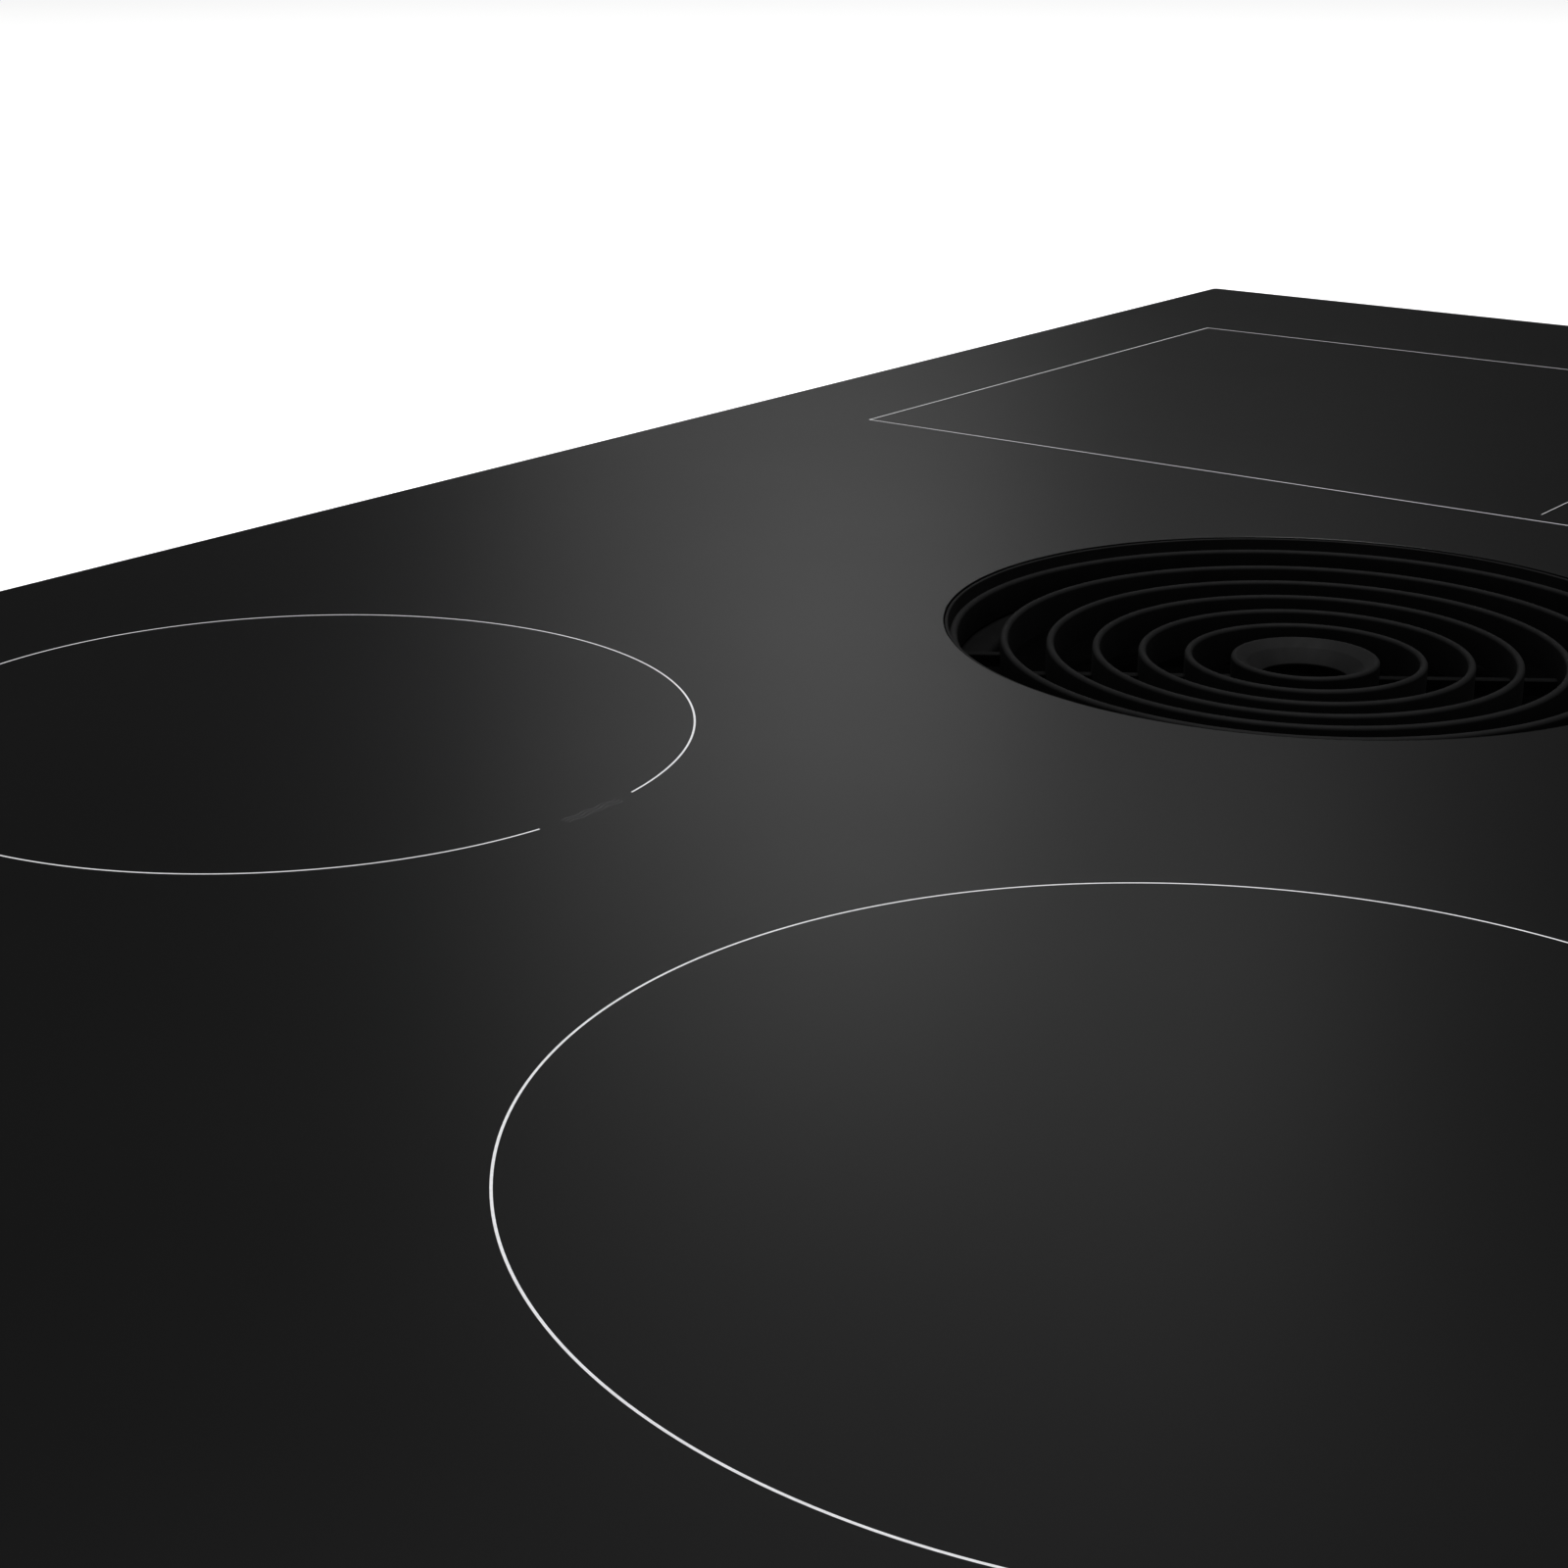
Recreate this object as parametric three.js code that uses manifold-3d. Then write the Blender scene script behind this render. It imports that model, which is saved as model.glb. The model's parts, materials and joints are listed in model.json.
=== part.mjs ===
// Built-in induction cooktop with a downdraft extractor in its middle.
// Millimetres, +Z up. X runs to the user's right and Y away from the user.
// The origin lies on the worktop's surface, under the centre of the round air inlet.
import * as THREE from "three";
import { mergeVertices } from "three/addons/utils/BufferGeometryUtils.js";
import Module from "manifold-3d";

const wasm = await Module();
wasm.setup();

// ---------------------------------------------------------------- driving dimensions
const GAP = 0.3; // between pieces that sit against each other
const LIFT_CLEARANCE = 1; // round a piece that lifts out
const PAST = 1; // how far a cutting shape runs past the faces that it cuts
const SINK = 0.5; // how far the shapes of one piece run into each other

const GLASS_LENGTH = 922;
const GLASS_DEPTH = 558.8;
const GLASS_THICKNESS = 4;
const GLASS_CORNER = 3;
const GLASS_BEVEL = 0.8;
const INLET_RADIUS = 88.5;

const SEAL_THICKNESS = 1.5;
const SEAL_WIDTH = 10;
const SEAL_INSET = 2;

const FRAME_INSET = 18; // glass edge to the outside of the carrier frame
const FRAME_SHEET = 1.5;
const FRAME_FLANGE = 12;
const FRAME_LIP = 14;

const TRAY_SHEET = 1;
const TRAY_BOTTOM = -58; // underside of the tray's floor
const TRAY_CORNER = 6;
const PLATE_MARGIN = 14; // well to the edge of the plate that the extractor hangs on
const VENT_WIDTH = 5;
const VENT_PITCH = 11;
const VENT_COUNT = 6;
const SIDE_VENT_LENGTH = 30;
const SIDE_VENT_PITCH = 44;
const SIDE_VENT_COUNT = 7;

const COLLAR_WALL = 0.8;
const COLLAR_BELOW_GLASS_TOP = 0.3;
const COLLAR_FLANGE = 8.5;
const COLLAR_SHEET = 1.2;
const LEDGE_DEPTH = 14; // glass top to the ledge that carries the cartridge
const LEDGE_WIDTH = 8;

const RING_THICKNESS = 1.9;
const RING_HEIGHT = 9.2;
const RING_PITCH = 11.3;
const RING_FACET_STEP = 4; // facets that each wider ring has more
const HUB_RING_RADIUS = 17;
const INNER_RING_COUNT = 6; // the hub ring and the five round it
const DISH_DEPTH = 8.1; // glass top to the grille's surface on the axis
const DISH_RADIUS = 707; // the ring tops lie on a sphere of this radius
const OUTER_RING_DEPTH = 3; // glass top to the top of the outer ring
const OUTER_RING_CLEARANCE = 0.5; // to the collar
const HUB_RING_FLAT = 1.1; // width of the flat on the hub ring's top
const HUB_SHOULDER_RADIUS = 14.3; // foot of the hub's shallow upper cone
const HUB_SHOULDER_DEPTH = 1.8;
const HUB_THROAT_RADIUS = 10.8; // foot of the steeper lower cone
const HUB_THROAT_DEPTH = 5.1;
const RIB_COUNT = 4;
const RIB_THICKNESS = 2.4;
const RIB_TURN = THREE.MathUtils.degToRad(35);
const RIB_DROP = 5; // ring tops to the top of the ribs
const RIM_RIB_DROP = 5; // outer ring's top to the top of the ribs' outer ends

const CARTRIDGE_FLANGE = 2;
const CARTRIDGE_WALL = 1.2;
const CARTRIDGE_LENGTH = 124;
const CARTRIDGE_FLOOR_OPENING = 59;
const WINDOW_COUNT = 6;
const WINDOW_WIDTH = 52;
const WINDOW_HEIGHT = 50;
const WINDOW_ABOVE_FLOOR = 10;
const PLEAT_COUNT = 20;
const PLEAT_DEPTH = 7;
const PLEAT_THICKNESS = 3;
const FILTER_HEIGHT = 96;
const CUP_DEPTH = 30;
const CUP_WALL = 1.2;
const CUP_RIM = 4;

const WELL_SHEET = 1.2;
const BOX_SHEET = 1.2;
const BOX_MARGIN = 6; // scroll to the box's left and front walls
const BOX_RIGHT_MARGIN = 24; // well tube to the box's right wall
const BOX_REAR = 214;
const BOX_BOTTOM = -196;
const BOX_SPLIT = -88; // joint between the upper shell and the lower pan
const BOX_CORNER = 5;

const FAN_Y = -30;
const FAN_SPACING = 13; // filter cartridge to the scroll's wall
const IMPELLER_RADIUS = 62;
const IMPELLER_HEIGHT = 84;
const BLADE_COUNT = 16;
const BLADE_CHORD = 11;
const BLADE_THICKNESS = 1.4;
const BLADE_SETBACK = 2.75; // blade to the radius beside it, so that the blades lean
const IMPELLER_SHEET = 2;
const SCROLL_CLEARANCE = 6; // impeller to the scroll's tongue
const SCROLL_GROWTH = 34;
const SCROLL_WALL = 2;
const SCROLL_TOP = -92;
const SCROLL_TONGUE = THREE.MathUtils.degToRad(120);
const SCROLL_TURN = THREE.MathUtils.degToRad(300);
const BELLMOUTH_RADIUS = 50;
const BELLMOUTH_RISE = 6;
const MOTOR_RADIUS = 38;
const MOTOR_HEIGHT = 44;
const MOTOR_FLANGE = 3;
const SHAFT_RADIUS = 4;
const SHAFT_LENGTH = 12;

const DUCT_WIDTH = 222; // flat duct, outside
const DUCT_HEIGHT = 89;
const DUCT_WALL = 1.5;
const DUCT_LENGTH = 40;
const DUCT_FLANGE = 6;
const DUCT_CORNER = 4;
const FLAP_Y = 165;
const FLAP_SHEET = 1.2;
const FLAP_CLEARANCE = 2;
const PIN_RADIUS = 1.5;
const KNUCKLE_RADIUS = 3.4;

const COIL_GAP = 2.4; // glass to the windings
const WINDING_HEIGHT = 5;
const FORMER_THICKNESS = 2;
const FERRITE_HEIGHT = 4;
const FERRITE_WIDTH = 12;
const FERRITE_BARS = 6;
const FERRITE_INSET = 2; // bars' ends to the former's edge
const FERRITE_HUB_RADIUS = 17.5;
const WINDING_INSET = 3; // winding to the former's edge
const CARRIER_SHEET = 1.5;
const CARRIER_CORNER = 5;
const CARRIER_LEG = 8;
const CARRIER_LEG_LENGTH = 24;
const CARRIER_LEG_INSET = 12;
const CARRIER_INNER_X = 112;
const CARRIER_SIDE_MARGIN = 16;
const CARRIER_END_MARGIN = 26;
const SENSOR_RADIUS = 7;
const ROUND_COIL_HOLE = 26;
const BRIDGE_COIL_HALF = 104;
const BRIDGE_COIL_HOLE = 34;
const BRIDGE_CORNER = 30;

const BOARD_THICKNESS = 1.6;
const BOARD_LIFT = 6;
const POST_RADIUS = 4;
const POST_INSET = 6;
const BOARD_SIDE_MARGIN = 60;
const BOARD_HALF_DEPTH = 68;
const BOARD_Y = -130;
const FILTER_BOARD_Y = 176;
const FILTER_BOARD_HALF_X = 80;
const FILTER_BOARD_HALF_Y = 40;
const HEATSINK_Y = -20;
const HEATSINK_HEADROOM = 12;
const HEATSINK_BASE = 4;
const FIN_COUNT = 9;
const FIN_PITCH = 5;
const FIN_THICKNESS = 1.6;
const COOLER_SIZE = 80;
const COOLER_HEIGHT = 15;
const COOLER_BORE = 37;
const COOLER_X = 335;
const COOLER_Y = 150;
const COOLER_BLADES = 7;
const COOLER_CORNER = 4;
const COOLER_HUB = 14;
const COOLER_STATOR = 11;
const COOLER_SHAFT = 3;
const COOLER_ARM_COUNT = 3;
const COOLER_ARM_WIDTH = 3;
const COOLER_ARM_HEIGHT = 2;
const COOLER_TIP_GAP = 2;
const COOLER_BLADE_CHORD = 13;
const COOLER_BLADE_THICKNESS = 1.2;
const COOLER_BLADE_TILT = THREE.MathUtils.degToRad(35);

const GLAND_X = 200;
const GLAND_RADIUS = 12;
const GLAND_FLANGE = 16;
const GLAND_REACH = 20;
const GLAND_NUT = 7;
const GLAND_INSIDE = 6;
const GLAND_TAPER = 2;
const GLAND_BORE = 6;
const GLAND_INSET = 27.6; // tray's rear wall to the gland's axis
const TERMINAL_HALF_X = 24;
const TERMINAL_HALF_Y = 12;
const TERMINAL_HEIGHT = 20;
const TERMINAL_COUNT = 5;
const TERMINAL_SCREW_RADIUS = 3;
const TERMINAL_SCREW_DEPTH = 6;
const TERMINAL_SCREW_AHEAD = 5;
const TERMINAL_AHEAD = 36; // gland's axis to the block's centre
const COVER_WALL = 1.5;
const COVER_SLOT = 10; // half width of the cable's way into the cover
const COVER_SLOT_DROP = 8;
const CONTROL_HALF_X = 108;
const CONTROL_HALF_Y = 19;
const CONTROL_INSET = 34; // tray's front wall to the middle of the touch strip
const TROUGH_DEPTH = 8;
const CONTROL_POST_INSET = 12;
const RIBBON_RADIUS = 1.6;
const RIBBON_BEHIND = 3; // trough to the ribbon
const RIBBON_LIFT = 3; // over the tray's floor

const BRACKET_Y = 170;
const BRACKET_WIDTH = 24;
const BRACKET_LENGTH = 58;
const BRACKET_SHEET = 2;
const BRACKET_CORNER = 4;
const NUT_DEPTH = 3;
const WORKTOP_THICKNESS = 30;
const SCREW_RADIUS = 2.5;
const SCREW_HEAD_RADIUS = 4;
const SCREW_HEAD = 3;
const CLAMP_RISE = 10; // how far a clamp screw can rise from rest
const FOOT_RADIUS = 5;
const FOOT_THICKNESS = 2;
const SCREW_OUTSIDE_FRAME = 10;

const FINE = 40; // facets of a large circle
const COARSE = 20; // facets of a small circle
const SMALL = 12; // facets of a screw or a post

// ---------------------------------------------------------------- levels and fits
const glassLow = SEAL_THICKNESS + GAP;
const glassTop = glassLow + GLASS_THICKNESS;
const frameX = GLASS_LENGTH / 2 - FRAME_INSET;
const frameY = GLASS_DEPTH / 2 - FRAME_INSET;
const trayX = frameX - FRAME_SHEET - GAP;
const trayY = frameY - FRAME_SHEET - GAP;
const trayFloor = TRAY_BOTTOM + TRAY_SHEET;
const insideFloor = trayFloor + GAP;

const collarOuter = INLET_RADIUS - GAP;
const collarInner = collarOuter - COLLAR_WALL;
const collarTubeOuter = collarInner + COLLAR_SHEET;
const ledgeTop = glassTop - LEDGE_DEPTH;
const ledgeInner = collarInner - LEDGE_WIDTH;
const wellInner = collarTubeOuter + GAP;
const wellOuter = wellInner + WELL_SHEET;
const plateHalf = wellOuter + PLATE_MARGIN;

const cartridgeOuter = ledgeInner - LIFT_CLEARANCE;
const cartridgeInner = cartridgeOuter - CARTRIDGE_WALL;
const cartridgeTop = ledgeTop + GAP + CARTRIDGE_FLANGE;
const cartridgeBottom = cartridgeTop - CARTRIDGE_LENGTH;
const cartridgeFloor = cartridgeBottom + CARTRIDGE_WALL;

const fanFacing = SCROLL_TONGUE / SCROLL_TURN; // share of the spiral that faces the cartridge
const panFloor = BOX_BOTTOM + BOX_SHEET;
const scrollBottom = panFloor + GAP;
const scrollInnerTop = SCROLL_TOP - SCROLL_WALL;
const scrollStart = IMPELLER_RADIUS + SCROLL_CLEARANCE;
const scrollEnd = scrollStart + SCROLL_GROWTH;
const fanX =
  -cartridgeOuter -
  FAN_SPACING -
  SCROLL_WALL -
  scrollStart -
  SCROLL_GROWTH * fanFacing;
const boxLeft = fanX - scrollEnd - SCROLL_WALL - BOX_MARGIN;
const boxFront = FAN_Y - scrollEnd - SCROLL_WALL - BOX_MARGIN;
const boxRight = wellOuter + BOX_RIGHT_MARGIN;
const ductCentreX = fanX - scrollEnd + DUCT_WIDTH / 2 - DUCT_WALL;
const ductCentreZ = (scrollBottom + scrollInnerTop) / 2;

const windingTop = glassLow - COIL_GAP;
const windingLow = windingTop - WINDING_HEIGHT;
const formerTop = windingLow - GAP;
const formerLow = formerTop - FORMER_THICKNESS;
const ferriteTop = formerLow - GAP;
const ferriteLow = ferriteTop - FERRITE_HEIGHT;
const carrierTop = ferriteLow - GAP;
const carrierLow = carrierTop - CARRIER_SHEET;
const sideCentre = (CARRIER_INNER_X + trayX) / 2;
const boardTop = insideFloor + BOARD_LIFT + BOARD_THICKNESS;
const boardRoom = carrierLow - boardTop;

const glandY = trayY - GLAND_INSET;
const terminalY = glandY - TERMINAL_AHEAD;
const controlY = -trayY + CONTROL_INSET;

// Cooking zones: two round ones on the left and a bridge zone of two halves on the right.
const ZONES = {
  rear_left: { x: -205, y: 137.7, radius: 85 },
  front_left: { x: -256.9, y: -117.4, radius: 101 },
  bridge_rear: { x: 251.7, y: 115, half: BRIDGE_COIL_HALF },
  bridge_front: { x: 251.7, y: -115, half: BRIDGE_COIL_HALF },
};

// ---------------------------------------------------------------- materials
const paint = (color, roughness, metalness = 0) =>
  new THREE.MeshStandardMaterial({ color, roughness, metalness });
const materials = {
  glassCeramic: paint(0x141415, 0.25),
  silicone: paint(0x1b1b1c, 0.8),
  galvanised: paint(0x9a9da0, 0.45, 1),
  aluminium: paint(0xb4b6b8, 0.4, 1),
  blackEnamel: paint(0x1a1a1b, 0.4),
  stainless: paint(0x8f9192, 0.3, 1),
  blackPlastic: paint(0x1c1c1d, 0.5),
  greyPlastic: paint(0x4a4c4f, 0.5),
  copper: paint(0xa55a34, 0.4, 1),
  ferrite: paint(0x35363a, 0.7),
  circuitBoard: paint(0x1f5136, 0.5),
  steel: paint(0xa8a9ab, 0.35, 1),
};

// ---------------------------------------------------------------- shape helpers
function solidOf(geometry) {
  const bare = geometry.clone();
  bare.deleteAttribute("normal");
  bare.deleteAttribute("uv");
  const merged = mergeVertices(bare, 1e-4);
  return new wasm.Manifold(
    new wasm.Mesh({
      numProp: 3,
      vertProperties: merged.attributes.position.array,
      triVerts: new Uint32Array(merged.index.array),
    }),
  );
}

function geometryOf(solid) {
  const mesh = solid.getMesh();
  const geometry = new THREE.BufferGeometry();
  geometry.setAttribute(
    "position",
    new THREE.BufferAttribute(mesh.vertProperties, 3),
  );
  geometry.setIndex(new THREE.BufferAttribute(mesh.triVerts, 1));
  geometry.computeVertexNormals();
  return geometry;
}

function join(...geometries) {
  return geometryOf(
    geometries.map(solidOf).reduce((whole, next) => whole.add(next)),
  );
}

function cut(geometry, ...tools) {
  const start = solidOf(geometry);
  return geometryOf(
    tools.map(solidOf).reduce((whole, tool) => whole.subtract(tool), start),
  );
}

function circle(radius, count, x = 0, y = 0) {
  return Array.from({ length: count }, (_, i) => {
    const angle = (2 * Math.PI * i) / count;
    return new THREE.Vector2(
      x + radius * Math.cos(angle),
      y + radius * Math.sin(angle),
    );
  });
}

// A rectangle with round corners, centred on x, y.
function roundRect(halfX, halfY, radius, steps = 4, x = 0, y = 0) {
  const points = [];
  for (const [sx, sy, start] of [[1, 1, 0], [-1, 1, 1], [-1, -1, 2], [1, -1, 3]]) {
    for (let i = 0; i <= steps; i++) {
      const angle = (Math.PI / 2) * (start + i / steps);
      points.push(
        new THREE.Vector2(
          x + sx * (halfX - radius) + radius * Math.cos(angle),
          y + sy * (halfY - radius) + radius * Math.sin(angle),
        ),
      );
    }
  }
  return points;
}

function slab(outline, low, high, holes = []) {
  const shape = new THREE.Shape(outline);
  shape.holes = holes.map((points) => new THREE.Path(points));
  return new THREE.ExtrudeGeometry(shape, {
    depth: high - low,
    bevelEnabled: false,
  }).translate(0, 0, low);
}

// The same along Y: the outline lies in X and Z.
function slabAlongY(outline, low, high, holes = []) {
  return slab(outline, -high, -low, holes).rotateX(Math.PI / 2);
}

// The same along X: the outline lies in Y and Z.
function slabAlongX(outline, low, high) {
  return slab(outline, low, high).rotateZ(Math.PI / 2).rotateY(Math.PI / 2);
}

// A body turned about Z from a closed profile of [radius, z] points.
function turned(profile, count) {
  const points = profile.map(([r, z]) => new THREE.Vector2(r, z));
  if (THREE.ShapeUtils.area(points) < 0) points.reverse();
  if (points[0].x > 0 || points[points.length - 1].x > 0) {
    points.push(points[0].clone());
  }
  return new THREE.LatheGeometry(points, count).rotateX(Math.PI / 2);
}

const cylinder = (radius, low, high, count = COARSE) =>
  slab(circle(radius, count), low, high);

const block = (x0, x1, y0, y1, z0, z1) =>
  new THREE.BoxGeometry(x1 - x0, y1 - y0, z1 - z0).translate(
    (x0 + x1) / 2,
    (y0 + y1) / 2,
    (z0 + z1) / 2,
  );

const cooktop = new THREE.Group();

function assembly(x = 0, y = 0) {
  const group = new THREE.Group();
  group.position.set(x, y, 0);
  cooktop.add(group);
  return group;
}

function add(group, name, geometry, material) {
  const mesh = new THREE.Mesh(geometry, material);
  mesh.name = name;
  group.add(mesh);
}

// ---------------------------------------------------------------- glass, seal and frame
function glassTopGeometry() {
  const edge = (inset, low, high) =>
    slab(
      roundRect(
        GLASS_LENGTH / 2 - inset,
        GLASS_DEPTH / 2 - inset,
        GLASS_CORNER,
      ),
      low,
      high,
    );
  const shape = new THREE.Shape(
    roundRect(
      GLASS_LENGTH / 2 - GLASS_BEVEL,
      GLASS_DEPTH / 2 - GLASS_BEVEL,
      GLASS_CORNER - GLASS_BEVEL,
    ),
  );
  const bevelled = new THREE.ExtrudeGeometry(shape, {
    depth: GLASS_THICKNESS - 2 * GLASS_BEVEL,
    bevelThickness: GLASS_BEVEL,
    bevelSize: GLASS_BEVEL,
    bevelSegments: 1,
  }).translate(0, 0, glassLow + GLASS_BEVEL);
  const squareFoot = edge(0, glassLow, glassLow + GLASS_THICKNESS / 2);
  const inlet = cylinder(INLET_RADIUS, glassLow - PAST, glassTop + PAST, FINE);
  return cut(join(bevelled, squareFoot), inlet);
}

function sealGeometry() {
  const outerX = GLASS_LENGTH / 2 - SEAL_INSET;
  const outerY = GLASS_DEPTH / 2 - SEAL_INSET;
  return slab(roundRect(outerX, outerY, GLASS_CORNER), 0, SEAL_THICKNESS, [
    roundRect(outerX - SEAL_WIDTH, outerY - SEAL_WIDTH, GLASS_CORNER),
  ]);
}

function frameGeometry() {
  const flange = slab(
    roundRect(frameX, frameY, TRAY_CORNER),
    SEAL_THICKNESS - FRAME_SHEET,
    SEAL_THICKNESS,
    [roundRect(frameX - FRAME_FLANGE, frameY - FRAME_FLANGE, TRAY_CORNER)],
  );
  const lip = slab(
    roundRect(frameX, frameY, TRAY_CORNER),
    -FRAME_LIP,
    SEAL_THICKNESS - FRAME_SHEET / 2,
    [
      roundRect(
        frameX - FRAME_SHEET,
        frameY - FRAME_SHEET,
        TRAY_CORNER - FRAME_SHEET,
      ),
    ],
  );
  return join(flange, lip);
}

// ---------------------------------------------------------------- base tray
function vents() {
  const slots = [];
  const start = (-VENT_PITCH * (VENT_COUNT - 1)) / 2;
  for (const side of [-1, 1]) {
    for (let i = 0; i < VENT_COUNT; i++) {
      const y = COOLER_Y + start + i * VENT_PITCH;
      slots.push(
        block(
          side * COOLER_X - COOLER_BORE + VENT_WIDTH,
          side * COOLER_X + COOLER_BORE - VENT_WIDTH,
          y - VENT_WIDTH / 2,
          y + VENT_WIDTH / 2,
          TRAY_BOTTOM - PAST,
          trayFloor + PAST,
        ),
      );
    }
    for (let i = 0; i < SIDE_VENT_COUNT; i++) {
      const y = SIDE_VENT_PITCH * (i - (SIDE_VENT_COUNT - 1) / 2);
      const x = side * trayX;
      slots.push(
        block(
          x - 2 * TRAY_SHEET,
          x + 2 * TRAY_SHEET,
          y - SIDE_VENT_LENGTH / 2,
          y + SIDE_VENT_LENGTH / 2,
          TRAY_BOTTOM / 2 - VENT_WIDTH / 2,
          TRAY_BOTTOM / 2 + VENT_WIDTH / 2,
        ),
      );
    }
  }
  return slots;
}

function trayGeometry() {
  const outside = slab(roundRect(trayX, trayY, TRAY_CORNER), TRAY_BOTTOM, -GAP);
  const inside = slab(
    roundRect(
      trayX - TRAY_SHEET,
      trayY - TRAY_SHEET,
      TRAY_CORNER - TRAY_SHEET,
    ),
    trayFloor,
    PAST,
  );
  const plateHole = block(
    -plateHalf,
    plateHalf,
    -plateHalf,
    plateHalf,
    TRAY_BOTTOM - PAST,
    trayFloor + PAST,
  );
  const glandHole = cylinder(
    GLAND_RADIUS + GAP,
    TRAY_BOTTOM - PAST,
    trayFloor + PAST,
  ).translate(GLAND_X, glandY, 0);
  return cut(outside, inside, plateHole, glandHole, ...vents());
}

// The plate round the well lies flush in the tray's floor.
function plateGeometry() {
  const half = plateHalf - GAP;
  return cut(
    block(-half, half, -half, half, TRAY_BOTTOM, trayFloor),
    cylinder(wellOuter + GAP, TRAY_BOTTOM - PAST, trayFloor + PAST, FINE),
  );
}

// ---------------------------------------------------------------- air inlet
function collarGeometry() {
  const flangeTop = glassLow - GAP;
  const flangeLow = flangeTop - COLLAR_SHEET;
  const rimTop = glassTop - COLLAR_BELOW_GLASS_TOP;
  return turned(
    [
      [collarInner, rimTop],
      [collarOuter, rimTop],
      [collarOuter, flangeTop],
      [collarOuter + COLLAR_FLANGE, flangeTop],
      [collarOuter + COLLAR_FLANGE, flangeLow],
      [collarTubeOuter, flangeLow],
      [collarTubeOuter, ledgeTop - COLLAR_SHEET],
      [ledgeInner, ledgeTop - COLLAR_SHEET],
      [ledgeInner, ledgeTop],
      [collarInner, ledgeTop],
    ],
    FINE,
  );
}

const dishDepth = (radius) =>
  DISH_DEPTH - (radius * radius) / (2 * DISH_RADIUS);

function ringProfile(radius, top, bottom) {
  const half = RING_THICKNESS / 2;
  return [
    [radius - half, bottom],
    [radius + half, bottom],
    [radius + half, top - half],
    [radius, top],
    [radius - half, top - half],
  ];
}

// The hub is its ring with a funnel in it, of one wall thickness.
function hubGeometry() {
  const top = glassTop - dishDepth(HUB_RING_RADIUS);
  const bottom = top - RING_HEIGHT;
  const half = RING_THICKNESS / 2;
  const ringInner = HUB_RING_RADIUS - half;
  const throat = top - HUB_THROAT_DEPTH;
  return turned(
    [
      [ringInner, bottom],
      [HUB_RING_RADIUS + half, bottom],
      [HUB_RING_RADIUS + half, top - half],
      [HUB_RING_RADIUS + HUB_RING_FLAT / 2, top],
      [HUB_RING_RADIUS - HUB_RING_FLAT / 2, top],
      [HUB_SHOULDER_RADIUS, top - HUB_SHOULDER_DEPTH],
      [HUB_THROAT_RADIUS, throat],
      [HUB_THROAT_RADIUS + half, throat - half],
      [HUB_SHOULDER_RADIUS, top - HUB_SHOULDER_DEPTH - RING_THICKNESS],
      [ringInner, top - HUB_SHOULDER_DEPTH - RING_THICKNESS],
    ],
    COARSE,
  );
}

function grilleGeometry() {
  const outerRadius =
    collarInner - OUTER_RING_CLEARANCE - RING_THICKNESS / 2;
  const outerTop = glassTop - OUTER_RING_DEPTH;
  const outerBottom = cartridgeTop + GAP;
  const pieces = [
    hubGeometry(),
    turned(ringProfile(outerRadius, outerTop, outerBottom), FINE),
  ];
  for (let i = 1; i < INNER_RING_COUNT; i++) {
    const radius = HUB_RING_RADIUS + i * RING_PITCH;
    const top = glassTop - dishDepth(radius);
    pieces.push(
      turned(
        ringProfile(radius, top, top - RING_HEIGHT),
        COARSE + RING_FACET_STEP * (i - 1),
      ),
    );
  }
  const hubTop = glassTop - dishDepth(HUB_RING_RADIUS);
  const lastInner = HUB_RING_RADIUS + (INNER_RING_COUNT - 1) * RING_PITCH;
  for (let i = 0; i < RIB_COUNT; i++) {
    const rib = join(
      block(
        HUB_RING_RADIUS,
        lastInner,
        -RIB_THICKNESS / 2,
        RIB_THICKNESS / 2,
        hubTop - RING_HEIGHT,
        hubTop - RIB_DROP,
      ),
      block(
        lastInner - RING_THICKNESS / 4,
        outerRadius,
        -RIB_THICKNESS / 2,
        RIB_THICKNESS / 2,
        outerBottom,
        outerTop - RIM_RIB_DROP,
      ),
    );
    pieces.push(rib.rotateZ(RIB_TURN + (2 * Math.PI * i) / RIB_COUNT));
  }
  return join(...pieces);
}

function cartridgeGeometry() {
  const shell = turned(
    [
      [cartridgeInner, cartridgeTop],
      [collarInner - GAP, cartridgeTop],
      [collarInner - GAP, cartridgeTop - CARTRIDGE_FLANGE],
      [cartridgeOuter, cartridgeTop - CARTRIDGE_FLANGE],
      [cartridgeOuter, cartridgeBottom],
      [CARTRIDGE_FLOOR_OPENING, cartridgeBottom],
      [CARTRIDGE_FLOOR_OPENING, cartridgeFloor],
      [cartridgeInner, cartridgeFloor],
    ],
    FINE,
  );
  const low = cartridgeFloor + WINDOW_ABOVE_FLOOR;
  const jamb = Math.sqrt(cartridgeInner ** 2 - (WINDOW_WIDTH / 2) ** 2);
  const windows = Array.from({ length: WINDOW_COUNT }, (_, i) =>
    block(
      jamb - PAST,
      cartridgeOuter + PAST,
      -WINDOW_WIDTH / 2,
      WINDOW_WIDTH / 2,
      low,
      low + WINDOW_HEIGHT,
    ).rotateZ((2 * Math.PI * i) / WINDOW_COUNT),
  );
  return cut(shell, ...windows);
}

function pleats(outer, depth) {
  return Array.from({ length: 2 * PLEAT_COUNT }, (_, i) => {
    const angle = (Math.PI * i) / PLEAT_COUNT;
    const radius = i % 2 ? outer - depth : outer;
    return new THREE.Vector2(
      radius * Math.cos(angle),
      radius * Math.sin(angle),
    );
  });
}

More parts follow.
